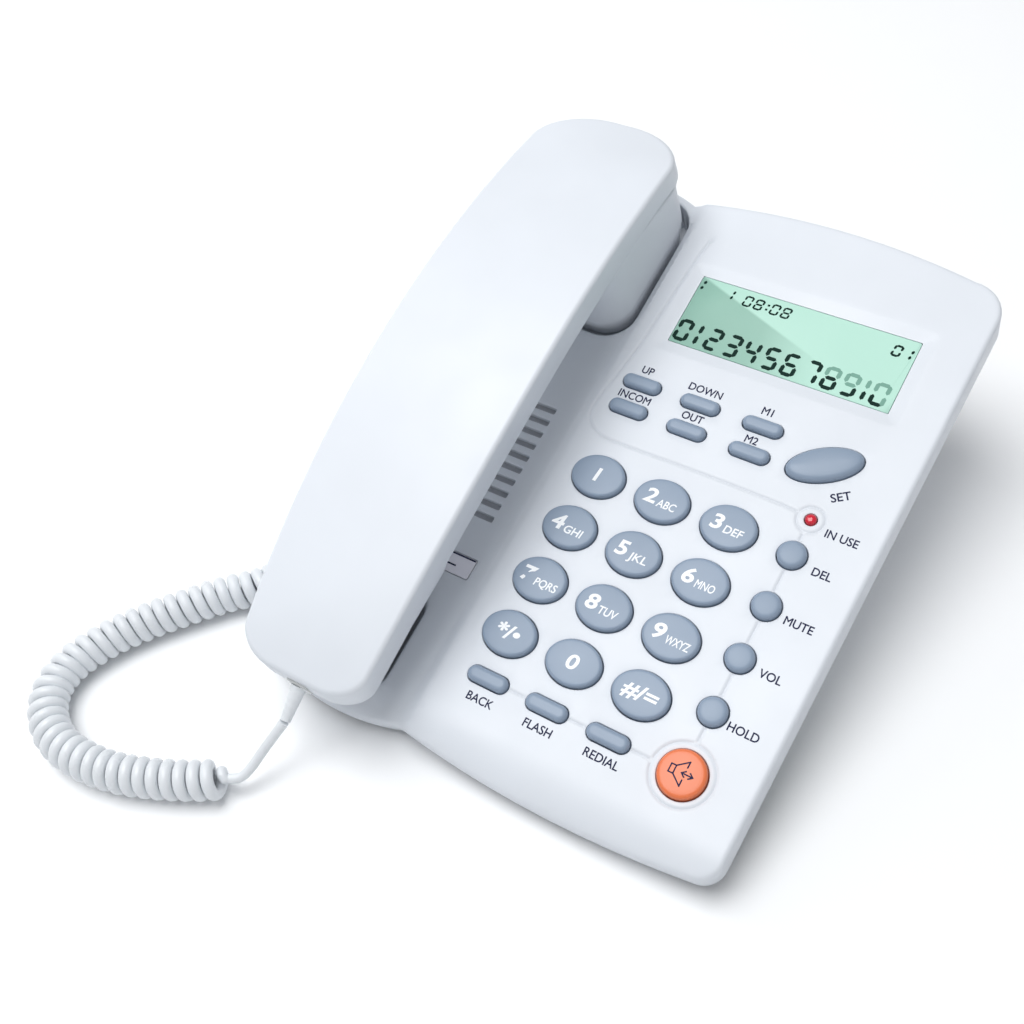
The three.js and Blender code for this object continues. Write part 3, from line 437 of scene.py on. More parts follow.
def cord_path():
    """The wire's own centre line, lead, coil, lead, and its radius at each point."""
    route = BASE_LEAD + [(x, y, COIL_HEIGHT) for x, y in COIL] + HANDSET_LEAD
    step = COIL_PITCH / 28
    line, run = spline(route, step)
    first, second = frames_along(line)
    start = run[np.argmin(np.linalg.norm(line - (*COIL[0], COIL_HEIGHT), axis=1))] + 2.0
    end = run[np.argmin(np.linalg.norm(line - (*COIL[-1], COIL_HEIGHT), axis=1))] - 0.8
    ramp = 3.6
    reach = smooth_step((run - start) / ramp) * smooth_step((end - run) / ramp)
    turn = 2 * math.pi * (run - start) / COIL_PITCH
    radius = (COIL_RADIUS - COIL_WIRE_RADIUS) * reach
    wire = line + radius[:, None] * (np.cos(turn)[:, None] * first + np.sin(turn)[:, None] * second)
    run = np.concatenate([[0], np.cumsum(np.linalg.norm(np.diff(wire, axis=0), axis=1))])
    even = np.linspace(0, run[-1], int(run[-1] / 1.05))
    wire = np.stack([np.interp(even, run, wire[:, k]) for k in range(3)], -1)
    return wire, CORD_RADIUS + (COIL_WIRE_RADIUS - CORD_RADIUS) * np.interp(even, run, reach)


wire, thickness = cord_path()
wire = plain(wire)
cord_length = float(np.linalg.norm(np.diff(wire, axis=0), axis=1).sum())
verts, faces = tube(wire, thickness * MM, 12)
cord = make("curly_cord", verts, faces, CORD, slot="cord",
            stands_for=("cord_coil", "cord_lead_base", "cord_lead_handset"))
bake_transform(cord)


def boot(start, direction, length, wide, narrow):
    """Tapered strain relief with shallow ribs, along a direction, in metres."""
    steps = 40
    t = np.linspace(0, 1, steps + 1)
    along = np.asarray(start) + np.outer(t * length, direction)
    taper = wide + (narrow - wide) * t
    ribs = 1 - 0.03 * (np.sin(t * 2 * math.pi * 5) > 0) * (t > 0.12) * (t < 0.95)
    return tube(along * MM, taper * ribs * MM, 20)


def plug_body(low, high):
    """A moulded plug block with soft edges."""
    edge = 0.5
    rings = []
    for inset, x in ((edge, low[0]), (0.12, low[0] + 0.12), (0, low[0] + edge),
                     (0, high[0] - edge), (0.12, high[0] - 0.12), (edge, high[0])):
        face = rounded_rectangle(low[1] + inset, high[1] - inset, low[2] + inset, high[2] - inset, 0.6, 3,
                                 counts=(3, 3))
        rings.append(np.column_stack([np.full(len(face), x), face]))
    return stitched(rings)


BASE_JACK_Y, BASE_JACK_Z = -28.0, 11.5
body_verts, body_faces = plug_body((-72.0, BASE_JACK_Y - 3.5, BASE_JACK_Z - 2.9),
                                   (-56.5, BASE_JACK_Y + 3.5, BASE_JACK_Z + 2.9))
plug_base = make("base_plug_block", body_verts * MM, body_faces, CLEAR, "base", ["plug_base"], "clear_plastic")
boot_verts, boot_faces = boot((-71.6, BASE_JACK_Y, BASE_JACK_Z), (-1, 0, 0), 8.4, 2.6, 1.52)
boot_base = make("base_plug_boot", boot_verts, boot_faces, CORD, "base", ["plug_base"], "cord")

HANDSET_PLUG_N = 12.2
SINK = math.radians(20)
block = plug_body((-41.4, CRADLE_U - 3.5, HANDSET_PLUG_N - 2.9), (-24.6, CRADLE_U + 3.5, HANDSET_PLUG_N + 2.9))
block_verts = on_panel(block[0][:, [1, 0, 2]])
plug_handset = make("handset_plug_block", block_verts, [f[::-1] for f in block[1]], CLEAR, "handset",
                    ["plug_handset"], "clear_plastic")
boot_start = on_panel([(CRADLE_U, -40.9, HANDSET_PLUG_N + 0.3)])[0] / MM
boot_end = on_panel([(CRADLE_U, -40.9 - 10.6 * math.cos(SINK), HANDSET_PLUG_N + 0.3 - 10.6 * math.sin(SINK))])[0] / MM
boot_way = (boot_end - boot_start) / np.linalg.norm(boot_end - boot_start)
boot_verts, boot_faces = boot(boot_start, boot_way, 10.6, 2.4, 1.52)
boot_handset = make("handset_plug_boot", boot_verts, boot_faces, CORD, "handset", ["plug_handset"], "cord")
tuple(plain(BASE_LEAD[0]))
[tuple(p) for p in wire]

# ---- Keys ---------------------------------------------------------------------------------------------------
NUMBER = dict(wide=16.6, high=13.4, edge=0.9, dome=0.30, top=1.85, legend=0.0)
ROUND = dict(wide=8.2, high=8.2, edge=1.2, dome=0.45, top=2.0)
PILL = dict(wide=12.2, high=4.4, edge=1.4, dome=0.12, top=1.8)
LOW_PILL = dict(wide=12.7, high=4.7, edge=1.4, dome=0.12, top=1.8)
SET = dict(wide=21.8, high=10.6, edge=1.5, dome=0.75, top=2.1, turn=30.0)
SPEAKER = dict(wide=13.4, high=13.4, edge=1.1, dome=0.35, top=2.0)


def key_places():
    keys = []
    names = [["star", "0", "hash"], ["7", "8", "9"], ["4", "5", "6"], ["1", "2", "3"]]
    for row, across in enumerate(names):
        for column, name in enumerate(across):
            keys.append(dict(NUMBER, node="key_" + name, u=NUMBER_U + column * KEY_PITCH_U,
                             v=NUMBER_V + row * KEY_PITCH_V))
    for row, across in enumerate([["up", "down", "m1"], ["incoming", "outgoing", "m2"]]):
        for column, name in enumerate(across):
            keys.append(dict(PILL, node="key_" + name, u=UPPER_PILL_U[column], v=UPPER_PILL_V[row]))
    for v, name in zip(SIDE_KEY_V, ["hold", "volume", "function", "delete"]):
        keys.append(dict(ROUND, node="key_" + name, u=SIDE_KEY_U, v=v))
    for u, name in zip(LOWER_PILL_U, ["back", "flash", "redial"]):
        keys.append(dict(LOW_PILL, node="key_" + name, u=u, v=LOWER_PILL_V))
    keys.append(dict(SET, node="key_set", u=SET_U, v=SET_V))
    keys.append(dict(SPEAKER, node="key_speaker", u=SPEAKER_U, v=SPEAKER_V))
    return keys


def key_outline(key, growth, count):
    """An oval, or a pill where the key is long and narrow."""
    half_wide, half_high = key["wide"] / 2 + growth, key["high"] / 2 + growth
    if key["wide"] > 2.2 * key["high"]:
        quarter = count // 4
        straight = half_wide - half_high
        right = arc(straight, 0, half_high, -90, 90, 2 * quarter - 3)
        left = arc(-straight, 0, half_high, 90, 270, 2 * quarter - 3)
        bridge = np.column_stack([[straight / 2, 0], [half_high, half_high]])
        points = np.vstack([right, bridge[:1], left, -bridge[:1]])
    else:
        angle = np.arange(count) * 2 * math.pi / count
        points = np.stack([half_wide * np.cos(angle), half_high * np.sin(angle)], -1)
    turn = math.radians(key.get("turn", 0.0))
    c, s = math.cos(turn), math.sin(turn)
    return points @ np.array([[c, s], [-s, c]]) + (key["u"], key["v"])


def key_height(key, inward):
    """Height of the cap's top at a distance in from its edge."""
    half = key["high"] / 2
    edge = key["edge"]
    t = np.clip(inward / edge, 0, 1)
    rounding = edge * (1 - np.sqrt(1 - (1 - t) ** 2)) * 0.8
    crown = key["dome"] * (1 - (1 - np.clip(inward / half, 0, 1)) ** 2)
    return key["top"] - key["dome"] - rounding + crown


def make_key(key):
    count = 64 if key["wide"] > 12 else 48
    edge, half = key["edge"], key["high"] / 2
    rings = [lifted(key_outline(key, 1.2, count), -3.7), lifted(key_outline(key, 1.2, count), -2.6),
             lifted(key_outline(key, 0, count), -2.6)]
    insets = [edge * (1 - math.cos(a)) for a in np.linspace(0, math.pi / 2, 7)]
    insets += [edge + (half - edge) * t for t in (0.15, 0.35, 0.55, 0.75, 0.92)]
    for inset in insets:
        rings.append(lifted(key_outline(key, -inset, count), key_height(key, inset)))
    verts, faces = stitched(rings)
    is_speaker = key["node"] == "key_speaker"
    look, slot = (ORANGE, "orange_key") if is_speaker else (KEY, "key")
    make(key["node"] + "_cap", on_panel(verts), faces, look, key["node"] + "_cap", [key["node"]], slot, 45)


KEYS = key_places()
for key in KEYS:
    make_key(key)


# ---- Top shell ------------------------------------------------------------------------------------------------
def base_outline(inset):
    left, front, back = -73 + inset, -36.4 + inset, 154.6 - inset
    right_front, right_back, notch = 80.6 - inset, 84 - inset, -18.5
    radii = [10 - inset, 7 - inset, 11 - inset, 11 - inset]
    corners = [
        arc(left + radii[0], front + radii[0], radii[0], 180, 270, 8),
        np.array([[notch, front]]),
        arc(right_front - radii[1], front + radii[1], radii[1], 270, 360, 8),
        arc(right_back - radii[2], back - radii[2], radii[2], 0, 90, 10),
        np.array([[notch, back]]),
        arc(left + radii[3], back - radii[3], radii[3], 90, 180, 10),
    ]
    return closed_path(corners, [3.6, 3.1, 0, 4.6, 4.4, 0], [22, 44, 80, 44, 22, 80])


def line_of(points, spacing=1.0):
    """A rounded open line through plan points, in even steps."""
    route, _ = spline([(*p, 0) for p in points], spacing)
    return route[:, :2]


def ring_line(u, v, radius, start, end):
    steps = int(abs(end - start) * math.pi / 180 * radius / 0.9)
    return arc(u, v, radius, start, end, steps)


LED_RING, SPEAKER_RING = 4.0, 8.9


def groove_lines():
    """The fine engraved line that frames the keys, without the stretches that keys interrupt."""
    start = line_of([(-7.0, 141.5), (-8.0, 133.9), (-9.3, 113.4), (-10.2, 99.6), (-12.0, 87.2), (-13.2, 79.2),
                     (-13.3, 73.5), (-12.0, 70.3), (-8.9, 67.9), (-4.5, 66.8), (5, 66.8), (30, 67.1),
                     (50, 66.9), (LED_U - LED_RING, LED_V + 0.9)])
    lines = [start, ring_line(LED_U, LED_V, LED_RING, 0, 360), ring_line(SPEAKER_U, SPEAKER_V, SPEAKER_RING, 0, 360)]
    gap = ROUND["high"] / 2 + 0.9
    stops = [SPEAKER_V + SPEAKER_RING] + [v + d for v in SIDE_KEY_V for d in (-gap, gap)] + [LED_V - LED_RING]
    for low, high in zip(stops[::2], stops[1::2]):
        lines.append(line_of([(SIDE_KEY_U, low), (SIDE_KEY_U, (low + high) / 2), (SIDE_KEY_U, high)]))
    half = LOW_PILL["wide"] / 2 + 0.9
    sides = [u + d for u in LOWER_PILL_U for d in (-half, half)][1:] + [SPEAKER_U - SPEAKER_RING]
    for low, high in zip(sides[::2], sides[1::2]):
        lines.append(line_of([(low, LOWER_PILL_V), ((low + high) / 2, LOWER_PILL_V), (high, LOWER_PILL_V)]))
    return lines


GROOVES = groove_lines()
GROOVE_DEPTH, GROOVE_HALF = 0.30, 0.62


def panel_height(points, engraved=True):
    """Height of the moulded top: flat panel, rolled front edge, cradle step and engraved line."""
    u, v = points[:, 0], points[:, 1]
    t = np.clip((LIP_START - v) / LIP_REACH, 0, 0.999)
    height = -LIP_DROP * (1 - np.sqrt(1 - t * t))
    height = height - CRADLE_DROP * smooth_step((STEP_U + STEP_HALF - u) / (2 * STEP_HALF))
    if engraved:
        away = np.full(len(points), 1e9)
        for line in GROOVES:
            away = np.minimum(away, distance_to(points, line))
        height = height - GROOVE_DEPTH * (1 - smooth_step(away / GROOVE_HALF))
    return height


def along_offsets(line, offsets):
    """Points beside a line at stated distances."""
    way = np.gradient(line, axis=0)
    way /= np.linalg.norm(way, axis=1)[:, None] + 1e-12
    side = np.stack([-way[:, 1], way[:, 0]], -1)
    return [line + side * d for d in offsets]


def cradle_loop(half, front, back, radius, spacing=1.6):
    return rounded_rectangle(CRADLE_U - half, CRADLE_U + half, front, back, radius, 8, spacing)


class Net:
    """Plan points with heights, and the loops that bound holes and steps."""

    def __init__(self):
        self.points, self.heights, self.edges, self.walls, self.holes = [], [], [], [], []

    def add(self, plan, heights):
        start = len(self.points)
        self.points += [tuple(p) for p in plan]
        self.heights += list(np.broadcast_to(heights, len(plan)))
        return start

    def loop(self, plan, heights):
        start = self.add(plan, heights)
        count = len(plan)
        self.edges += [(start + i, start + (i + 1) % count) for i in range(count)]
        return list(range(start, start + count))

    def hole(self, plan, heights, floor):
        """A loop with nothing inside, whose wall goes down to the floor height."""
        self.holes.append(np.asarray(plan))
        self.walls.append((self.loop(plan, heights), floor))


def rounded_hole(net, outline_at, floor, radius=0.3, growth=0.32):
    """A hole in the panel with softened lips; outline_at gives the outline at any growth."""
    for out, drop in ((radius, 0.0), (radius * 0.45, radius * 0.16)):
        plan = outline_at(growth + out)
        net.loop(plan, panel_height(plan, False) - drop)
    plan = outline_at(growth)
    net.hole(plan, panel_height(plan, False) - radius, floor)


def slot_outline(left, right, v, half):
    corner = half * 0.45

    def at(growth):
        return rounded_rectangle(left - growth, right + growth, v - half - growth, v + half + growth,
                                 corner + growth, 3, 2.4)
    return at


EAR_FLOOR, MOUTH_FLOOR, CARD_FLOOR = -10.0, -8.4, -2.8
SLOTS, SLOT_V, SLOT_PITCH, GRILLE_THICK = 10, 30.0, 4.41, 1.5
CARD_EDGES = (-65.0, -21.7, 10.0, 16.4)


def card_outline(growth):
    left, right, front, back = CARD_EDGES
    return rounded_rectangle(left - growth, right + growth, front - growth, back + growth, 0.5, 2, 2.5)


def display_outline(growth, radius):
    return rounded_rectangle(DISPLAY_U - DISPLAY_WIDE / 2 - growth, DISPLAY_U + DISPLAY_WIDE / 2 + growth,
                             DISPLAY_V - DISPLAY_HIGH / 2 - growth, DISPLAY_V + DISPLAY_HIGH / 2 + growth,
                             radius, 3, 2.4)


def top_shell():
    net = Net()
    rim = 1.3
    for angle in np.linspace(0, 90, 6):
        inset = rim * (1 - math.cos(math.radians(angle)))
        plan = base_outline(inset)
        inner = panel_height(plan, False)
        ids = net.loop(plan, inner - rim * (1 - math.sin(math.radians(angle))))
        if angle == 0:
            outer_ids, outer_plan = ids, plan
    for inset in (2.2, 3.4, 5.0):
        plan = base_outline(inset)
        net.add(plan, panel_height(plan, False))

    for key in KEYS:
        count = 48 if key["wide"] > 12 else 36
        rounded_hole(net, lambda growth, key=key, count=count: key_outline(key, growth, count), -SHELL_THICK)
    rounded_hole(net, lambda growth: arc(LED_U, LED_V, LED_RADIUS + 0.3 + growth, 0, 342, 19), -SHELL_THICK, 0.3, 0.0)
    for i in range(SLOTS):
        outline = slot_outline(-58.0, -24.0 - 0.3 * i / (SLOTS - 1), SLOT_V + SLOT_PITCH * i, 1.0)
        rounded_hole(net, outline, -CRADLE_DROP - GRILLE_THICK, 0.25, 0.0)

    for growth, height in ((4.6, 0.0), (4.0, -0.04), (3.4, -0.16), (0.9, -0.74), (0.6, -0.80)):
        net.loop(display_outline(growth, 0.4 + growth * 0.45), height)
    net.hole(display_outline(0.15, 0.35), -0.86, -SHELL_THICK)

    ear = [(0.8, -2.0), (0.35, -2.12), (0.08, -2.45), (0.0, -2.9), (-0.3, -8.6), (-0.6, -9.5), (-1.5, EAR_FLOOR)]
    for growth, height in ear:
        net.loop(cradle_loop(26.1 + growth, 99.4 - growth, 153.8 + growth, 10 + growth), height)
    mouth = [(0.9, -2.0), (0.3, -2.15), (-0.1, -2.6)]
    slope = (14.7 - 11.7) / (MOUTH_FLOOR + CRADLE_DROP)
    mouth += [(slope * (-CRADLE_DROP - h), h) for h in (-4.5, -6.5, -7.8)] + [(-3.6, -8.3), (-4.6, MOUTH_FLOOR)]
    for growth, height in mouth:
        net.loop(cradle_loop(14.7 + growth, -31.2 - growth, 1.2 + growth, 6 + growth, 1.3), height)
    card = [(0.5, -2.0), (0.3, -2.12), (0.22, CARD_FLOOR)]
    for growth, height in card:
        net.loop(card_outline(growth), height)
    hook = rounded_rectangle(CRADLE_U - 3.85, CRADLE_U + 3.85, 109.65, 114.35, 0.5, 2, 1.2)
    net.hole(hook, EAR_FLOOR, EAR_FLOOR - 2)

    for line in GROOVES:
        closed = np.linalg.norm(line[0] - line[-1]) < 0.1
        for beside in along_offsets(line, (-1.1, -0.62, -0.31, 0.0, 0.31, 0.62, 1.1)):
            plan = beside[:-1] if closed else beside
            net.add(plan, panel_height(plan))

    fixed = np.array(net.points)
    us, vs = np.arange(-71, 83, 3.0), np.arange(-26, 152, 3.0)
    grid = [np.stack(np.meshgrid(us, vs), -1).reshape(-1, 2),
            np.stack(np.meshgrid(np.arange(-71, 83, 2.2), np.arange(-40, -26, 1.1)), -1).reshape(-1, 2),
            np.stack(np.meshgrid(np.arange(-20, -12, 0.8), np.arange(-36, 152, 3.0)), -1).reshape(-1, 2)]
    grid = np.concatenate(grid)
    grid = grid[inside(grid, base_outline(1.6))]
    near = np.array([np.min(np.abs(fixed - p).max(1)) for p in grid])
    sides = ((display_outline(4.6, 2.5), display_outline(0.0, 0.3)),
             (cradle_loop(26.9, 98.6, 154.6, 10.8), cradle_loop(24.6, 100.9, 152.3, 8.5)),
             (cradle_loop(15.6, -32.1, 2.1, 6.9), cradle_loop(10.1, -26.6, -3.4, 3)))
    sloping = np.logical_or.reduce([inside(grid, outer) & ~inside(grid, inner) for outer, inner in sides])
    grid = grid[(near > 0.75) & ~sloping]
    heights = panel_height(grid)
    heights[inside(grid, cradle_loop(24.6, 100.9, 152.3, 8.5))] = EAR_FLOOR
    heights[inside(grid, cradle_loop(10.1, -26.6, -3.4, 3))] = MOUTH_FLOOR
    heights[inside(grid, card_outline(0.2))] = CARD_FLOOR
    net.add(grid, heights)

    found, _, triangles, origins, _, _ = delaunay_2d_cdt(
        [Vector(p) for p in net.points], net.edges, [], 0, 1e-4, True)
    plan = np.array([tuple(p) for p in found])
    height = np.zeros(len(plan))
    made = {}
    for i, source in enumerate(origins):
        height[i] = net.heights[source[0]] if source else panel_height(plan[i:i + 1])[0]
        for s in source:
            made[s] = i
    triangles = np.array(triangles)
    middle = plan[triangles].mean(1)
    keep = inside(middle, outer_plan)
    for hole in net.holes:
        keep &= ~inside(middle, hole)
    faces = [tuple(t) for t in triangles[keep]]
    verts = [np.column_stack([plan, height])]
    total = len(plan)

    def wall(ids, ring, reverse=False):
        nonlocal total
        verts.append(ring)
        count = len(ids)
        new = list(range(total, total + count))
        total += count
        for i in range(count):
            j = (i + 1) % count
            face = (ids[i], ids[j], new[j], new[i])
            faces.append(face[::-1] if reverse else face)
        return new

    for ids, floor in net.walls:
        ids = [made[i] for i in ids]
        wall(ids, np.column_stack([plan[ids], np.full(len(ids), floor)]))
    ids = [made[i] for i in outer_ids]
    for inset, n in ((0.0, -SKIRT_DEPTH + 0.4), (0.12, -SKIRT_DEPTH + 0.12), (0.4, -SKIRT_DEPTH),
                     (2.0, -SKIRT_DEPTH), (2.2, -SKIRT_DEPTH + 0.4), (2.2, -SKIRT_DEPTH + 3)):
        ids = wall(ids, lifted(base_outline(inset), n), True)
    return np.concatenate(verts), faces


verts, faces = top_shell()
make("top_shell", on_panel(verts), faces, SHELL, "base", ["base_top_shell"], "shell", 40)


# ---- Handset ------------------------------------------------------------------------------------------------------
FRONT, BACK = -40.8, 159.7
BACK_ALONG, BACK_ACROSS = 15.5, 20.0
HANDSET_TOP, CREST_V = 35.5, 72.0
SHELL_DEPTH, GRIP_DEPTH = 8.2, 8.1


def crest(v):
    away = v - CREST_V
    return HANDSET_TOP - away * away / (2 * np.where(away < 0, 380.0, 300.0))


def parting(v):
    return crest(v) - SHELL_DEPTH


def half_width(v, inset=0.0):
    away = v - 65.0
    full = 26.2 - np.where(away < 0, 0.00048, 0.00022) * away * away
    front = np.clip((FRONT + 9 - v) / (9 - inset), 0, 1)
    back = np.clip((v - BACK + BACK_ALONG) / (BACK_ALONG - inset), 0, 1)
    return full - 12 * (1 - np.sqrt(1 - front**2)) - BACK_ACROSS * (1 - np.sqrt(1 - back**2)) - inset


def handset_outline(inset):
    """The handset's plan outline, with points gathered at its rounded ends."""
    front, back = FRONT + inset, BACK - inset
    turn = np.linspace(0, math.pi / 2, 13)[:-1]
    front_part = front + (9 - inset) * (1 - np.cos(turn))
    back_part = back - (BACK_ALONG - inset) * (1 - np.cos(turn))
    along = np.concatenate([front_part, np.linspace(FRONT + 9, BACK - BACK_ALONG, 60), back_part[::-1]])
    half = half_width(along, inset)
    ends = np.linspace(1, -1, 12)[1:-1]
    right = np.stack([half, along], -1)
    back_edge = np.stack([half[-1] * ends, np.full(10, back)], -1)
    left = np.stack([-half[::-1], along[::-1]], -1)
    front_edge = np.stack([-half[0] * ends, np.full(10, front)], -1)
    return np.concatenate([right, back_edge, left, front_edge])


def shrunk_outline(t, inset):
    """The outline drawn in towards the handset's middle line; t runs from 0 to 1."""
    outline = handset_outline(inset)
    target = np.stack([np.zeros(len(outline)), np.clip(outline[:, 1], FRONT + 24, BACK - 26)], -1)
    return outline + (target - outline) * t


def outer_ring(plan, height):
    return np.column_stack([plan[:, 0] + CRADLE_U, plan[:, 1], np.broadcast_to(height, len(plan))])


def handset_outer():
    round_over = 1.5
    rings = []
    for inset, drop in ((2.2, 4.5), (2.2, 0.0), (0.35, 0.0), (0.1, -0.12), (0.0, -0.4)):
        plan = handset_outline(inset)
        rings.append(outer_ring(plan, parting(plan[:, 1]) + (0 if drop == 4.5 else -drop) + (4.5 if drop == 4.5 else 0)))
    for angle in np.linspace(0, 90, 9):
        a = math.radians(angle)
        plan = handset_outline(0.15 + round_over * (1 - math.cos(a)))
        rings.append(outer_ring(plan, crest(plan[:, 1]) - round_over * (1 - math.sin(a))))
    for t in (0.06, 0.16, 0.3, 0.46, 0.62, 0.78, 0.92, 1.0):
        plan = shrunk_outline(t, 0.15 + round_over)
        crown = 1.0 * (1 - (1 - t) ** 2)
        rings.append(outer_ring(plan, crest(plan[:, 1]) + crown))
    return stitched(rings, False, False)


def cut(obj, cutters, solver="EXACT"):
    """Subtracts closed pieces, given as (verts, faces), and keeps the result."""
    verts, faces = joined(cutters)
    mesh = bpy.data.meshes.new("cutter")
    mesh.from_pydata([tuple(v) for v in verts], [], faces)
    tool = bpy.data.objects.new("cutter", mesh)
    bpy.context.scene.collection.objects.link(tool)
    modifier = obj.modifiers.new("cut", "BOOLEAN")
    modifier.operation = "DIFFERENCE"
    modifier.solver = solver
    modifier.use_self = True
    modifier.object = tool
    bake_modifiers(obj)
    bpy.data.objects.remove(tool)


def bake_modifiers(obj):
    bpy.context.view_layer.update()
    graph = bpy.context.evaluated_depsgraph_get()
    result = bpy.data.meshes.new_from_object(obj.evaluated_get(graph))
    obj.modifiers.clear()
    obj.data = result


def post(u, v, radius, low, high, sides=20, top_radius=None):
    """An upright drum in panel millimetres."""
    top_radius = radius if top_radius is None else top_radius
    rings = [lifted(arc(u, v, r, 0, 360 - 360 / sides, sides - 1), n) for r, n in ((radius, low), (top_radius, high))]
    return stitched(rings)


verts, faces = handset_outer()
handset = make("handset_top", on_panel(verts), faces, HANDSET, "handset", ["handset_outer_shell"], "shell", 32, True)


def grip_body():
    """The underside's long shallow body, with a tongue that rises inside the outer shell."""
    tongue, rise, gap = 2.8, 1.2, 0.22
    rings = []
    for t in (1.0, 0.6, 0.3):
        plan = shrunk_outline(t, tongue)
        rings.append(outer_ring(plan, parting(plan[:, 1]) + rise))
    profile = [(tongue, -rise), (tongue, gap), (0.5, gap), (0.3, gap + 0.25), (0.4, 1.3), (1.4, 3.0), (2.6, 4.8),
               (3.6, 6.4), (4.8, 7.6), (6.4, GRIP_DEPTH)]
    for inset, depth in profile:
        plan = handset_outline(inset)
        rings.append(outer_ring(plan, parting(plan[:, 1]) - depth))
    for t in (0.3, 0.6, 1.0):
        plan = shrunk_outline(t, 6.4)
        rings.append(outer_ring(plan, parting(plan[:, 1]) - GRIP_DEPTH))
    return stitched(rings, False, False)


def cup(sections, under=0.9):
    """A cup through rounded rectangles, ending just under the parting line."""
    rings = []
    for half, front, back, radius, height in sections:
        plan = rounded_rectangle(-half, half, front, back, radius, 8, counts=(14, 14))
        top = parting(plan[:, 1]) - under if height is None else height
        rings.append(outer_ring(plan, top))
    return stitched(rings)


def handset_inner():
    ear = cup([(21.8, 105, 147.8, 8.6, -9.5), (23.3, 103.5, 149.3, 10, -8.7), (23.9, 102.7, 150.1, 10, -7.2),
               (25, 101, 152, 10, 1), (25, 101, 152, 10, None)])
    mouth = cup([(9.2, -25.7, -4.3, 5, -7.9), (10.6, -27.1, -2.9, 6, -7.0), (13.5, -30, 0, 6, -2),
                 (19.3, -36.0, 13, 6, 9.5), (19.3, -36.0, 13, 6, None)], 2.2)
    grip = grip_body()
    verts, faces = joined([grip, ear, mouth])
    obj = make("handset_underside", on_panel(verts), faces, HANDSET)
    remesh = obj.modifiers.new("remesh", "REMESH")
    remesh.mode = "VOXEL"
    remesh.voxel_size = 0.00065
    bake_modifiers(obj)
    soften = obj.modifiers.new("soften", "SMOOTH")
    soften.factor = 0.5
    soften.iterations = 6
    bake_modifiers(obj)
    holes = [post(CRADLE_U, 127, 1.1, -14, -6)]
    holes += [post(CRADLE_U + 6 * math.cos(a), 127 + 6 * math.sin(a), 1.1, -14, -6)
              for a in np.arange(6) * math.pi / 3]
    holes += [post(CRADLE_U + d, -15, 1.1, -12, -5) for d in (-4, 0, 4)]
    holes.append(post(CRADLE_U, 88, 3.1, 10, 19.5))
    cut(obj, [(on_panel(v), f) for v, f in holes])
    obj.data.polygons.foreach_set("use_smooth", [True] * len(obj.data.polygons))
    obj.data.set_sharp_from_angle(angle=math.radians(50))
    settle(obj, "handset", ["handset_inner_shell"], "shell")
    return obj


handset_inner()

# ---- Bottom shell, feet and sockets ----------------------------------------------------------------------------------
TRAY_LOW, TRAY_TOP = 1.8, 64.0


def tray_outline(inset, draft):
    left = -73 - 5.5 + 1.8 + inset + 7 * draft
    right_front = 80.6 - 5.5 - 1.8 - inset - 12 * draft
    right_back = 84 - 5.5 - 1.8 - inset - 12 * draft
    front, back, r = -89 + inset + 2 * draft, 94.3 - inset - 4 * draft, 8 - min(inset, 4)
    corners = [arc(left + r, front + r, r, 180, 270, 10), arc(right_front - r, front + r, r, 270, 360, 10),
               arc(right_back - r, back - r, r, 0, 90, 10), arc(left + r, back - r, r, 90, 180, 10)]
    return closed_path(corners, [0, 0, 0, 0], [24, 36, 24, 36])


def skirt_limit(plan):
    """Height just below the skirt, over each plan point."""
    reach = SKIRT_DEPTH + 0.3
    return PANEL_ZERO[2] + (plan[:, 1] - PANEL_ZERO[1] - reach * math.sin(TILT)) * math.tan(TILT) \
        - reach * math.cos(TILT)


def tray():
    rings = []
    inner_floor = tray_outline(4.0, 1.0)
    rings.append(lifted(inner_floor, TRAY_LOW + 2))
    for share in (0.0, 1.0):
        draft = 1 - share
        plan = tray_outline(2.0, draft)
        top = np.minimum(skirt_limit(plan), TRAY_TOP)
        height = TRAY_LOW + 2.6 + (top - TRAY_LOW - 2.6) * share
        rings.append(np.column_stack([tray_outline(2.0, 1.0) + (plan - tray_outline(2.0, 1.0)) * ((height - TRAY_LOW) / (TRAY_TOP - TRAY_LOW))[:, None] if share else plan, height]))
    low = tray_outline(0.0, 1.0)
    high = tray_outline(0.0, 0.0)
    limit = skirt_limit(high)
    for _ in range(6):
        share = np.clip((limit - TRAY_LOW) / (TRAY_TOP - TRAY_LOW), 0, 1)[:, None]
        limit = skirt_limit(low + (high - low) * share)
    for part in (1.0, 0.97, 0.75, 0.5, 0.25, 0.02):
        s = share * part
        rings.append(np.column_stack([low + (high - low) * s, TRAY_LOW + (TRAY_TOP - TRAY_LOW) * s[:, 0]]))
    for angle in (70, 40, 0):
        a = math.radians(angle)
        rings.append(lifted(tray_outline(1.2 * (1 - math.sin(a)), 1.0), TRAY_LOW + 1.2 * (1 - math.cos(a)) * 0.6))
    return stitched(rings)


verts, faces = tray()
bottom = make("tray", plain(verts), faces, SHELL, "base", ["base_bottom_shell"], "shell", 35, True)


def block(low, high, edge=0.6, axis=2):
    """A closed block with rounded upright edges along an axis."""
    order = {0: (1, 2, 0), 1: (0, 2, 1), 2: (0, 1, 2)}[axis]
    a, b, c = order
    plan = rounded_rectangle(low[a], high[a], low[b], high[b], edge, 4, 5)
    rings = []
    for level in (low[c], high[c]):
        ring = np.zeros((len(plan), 3))
        ring[:, a], ring[:, b], ring[:, c] = plan[:, 0], plan[:, 1], level
        rings.append(ring)
    verts, faces = stitched(rings)
    return verts, faces if axis != 1 else [f[::-1] for f in faces]


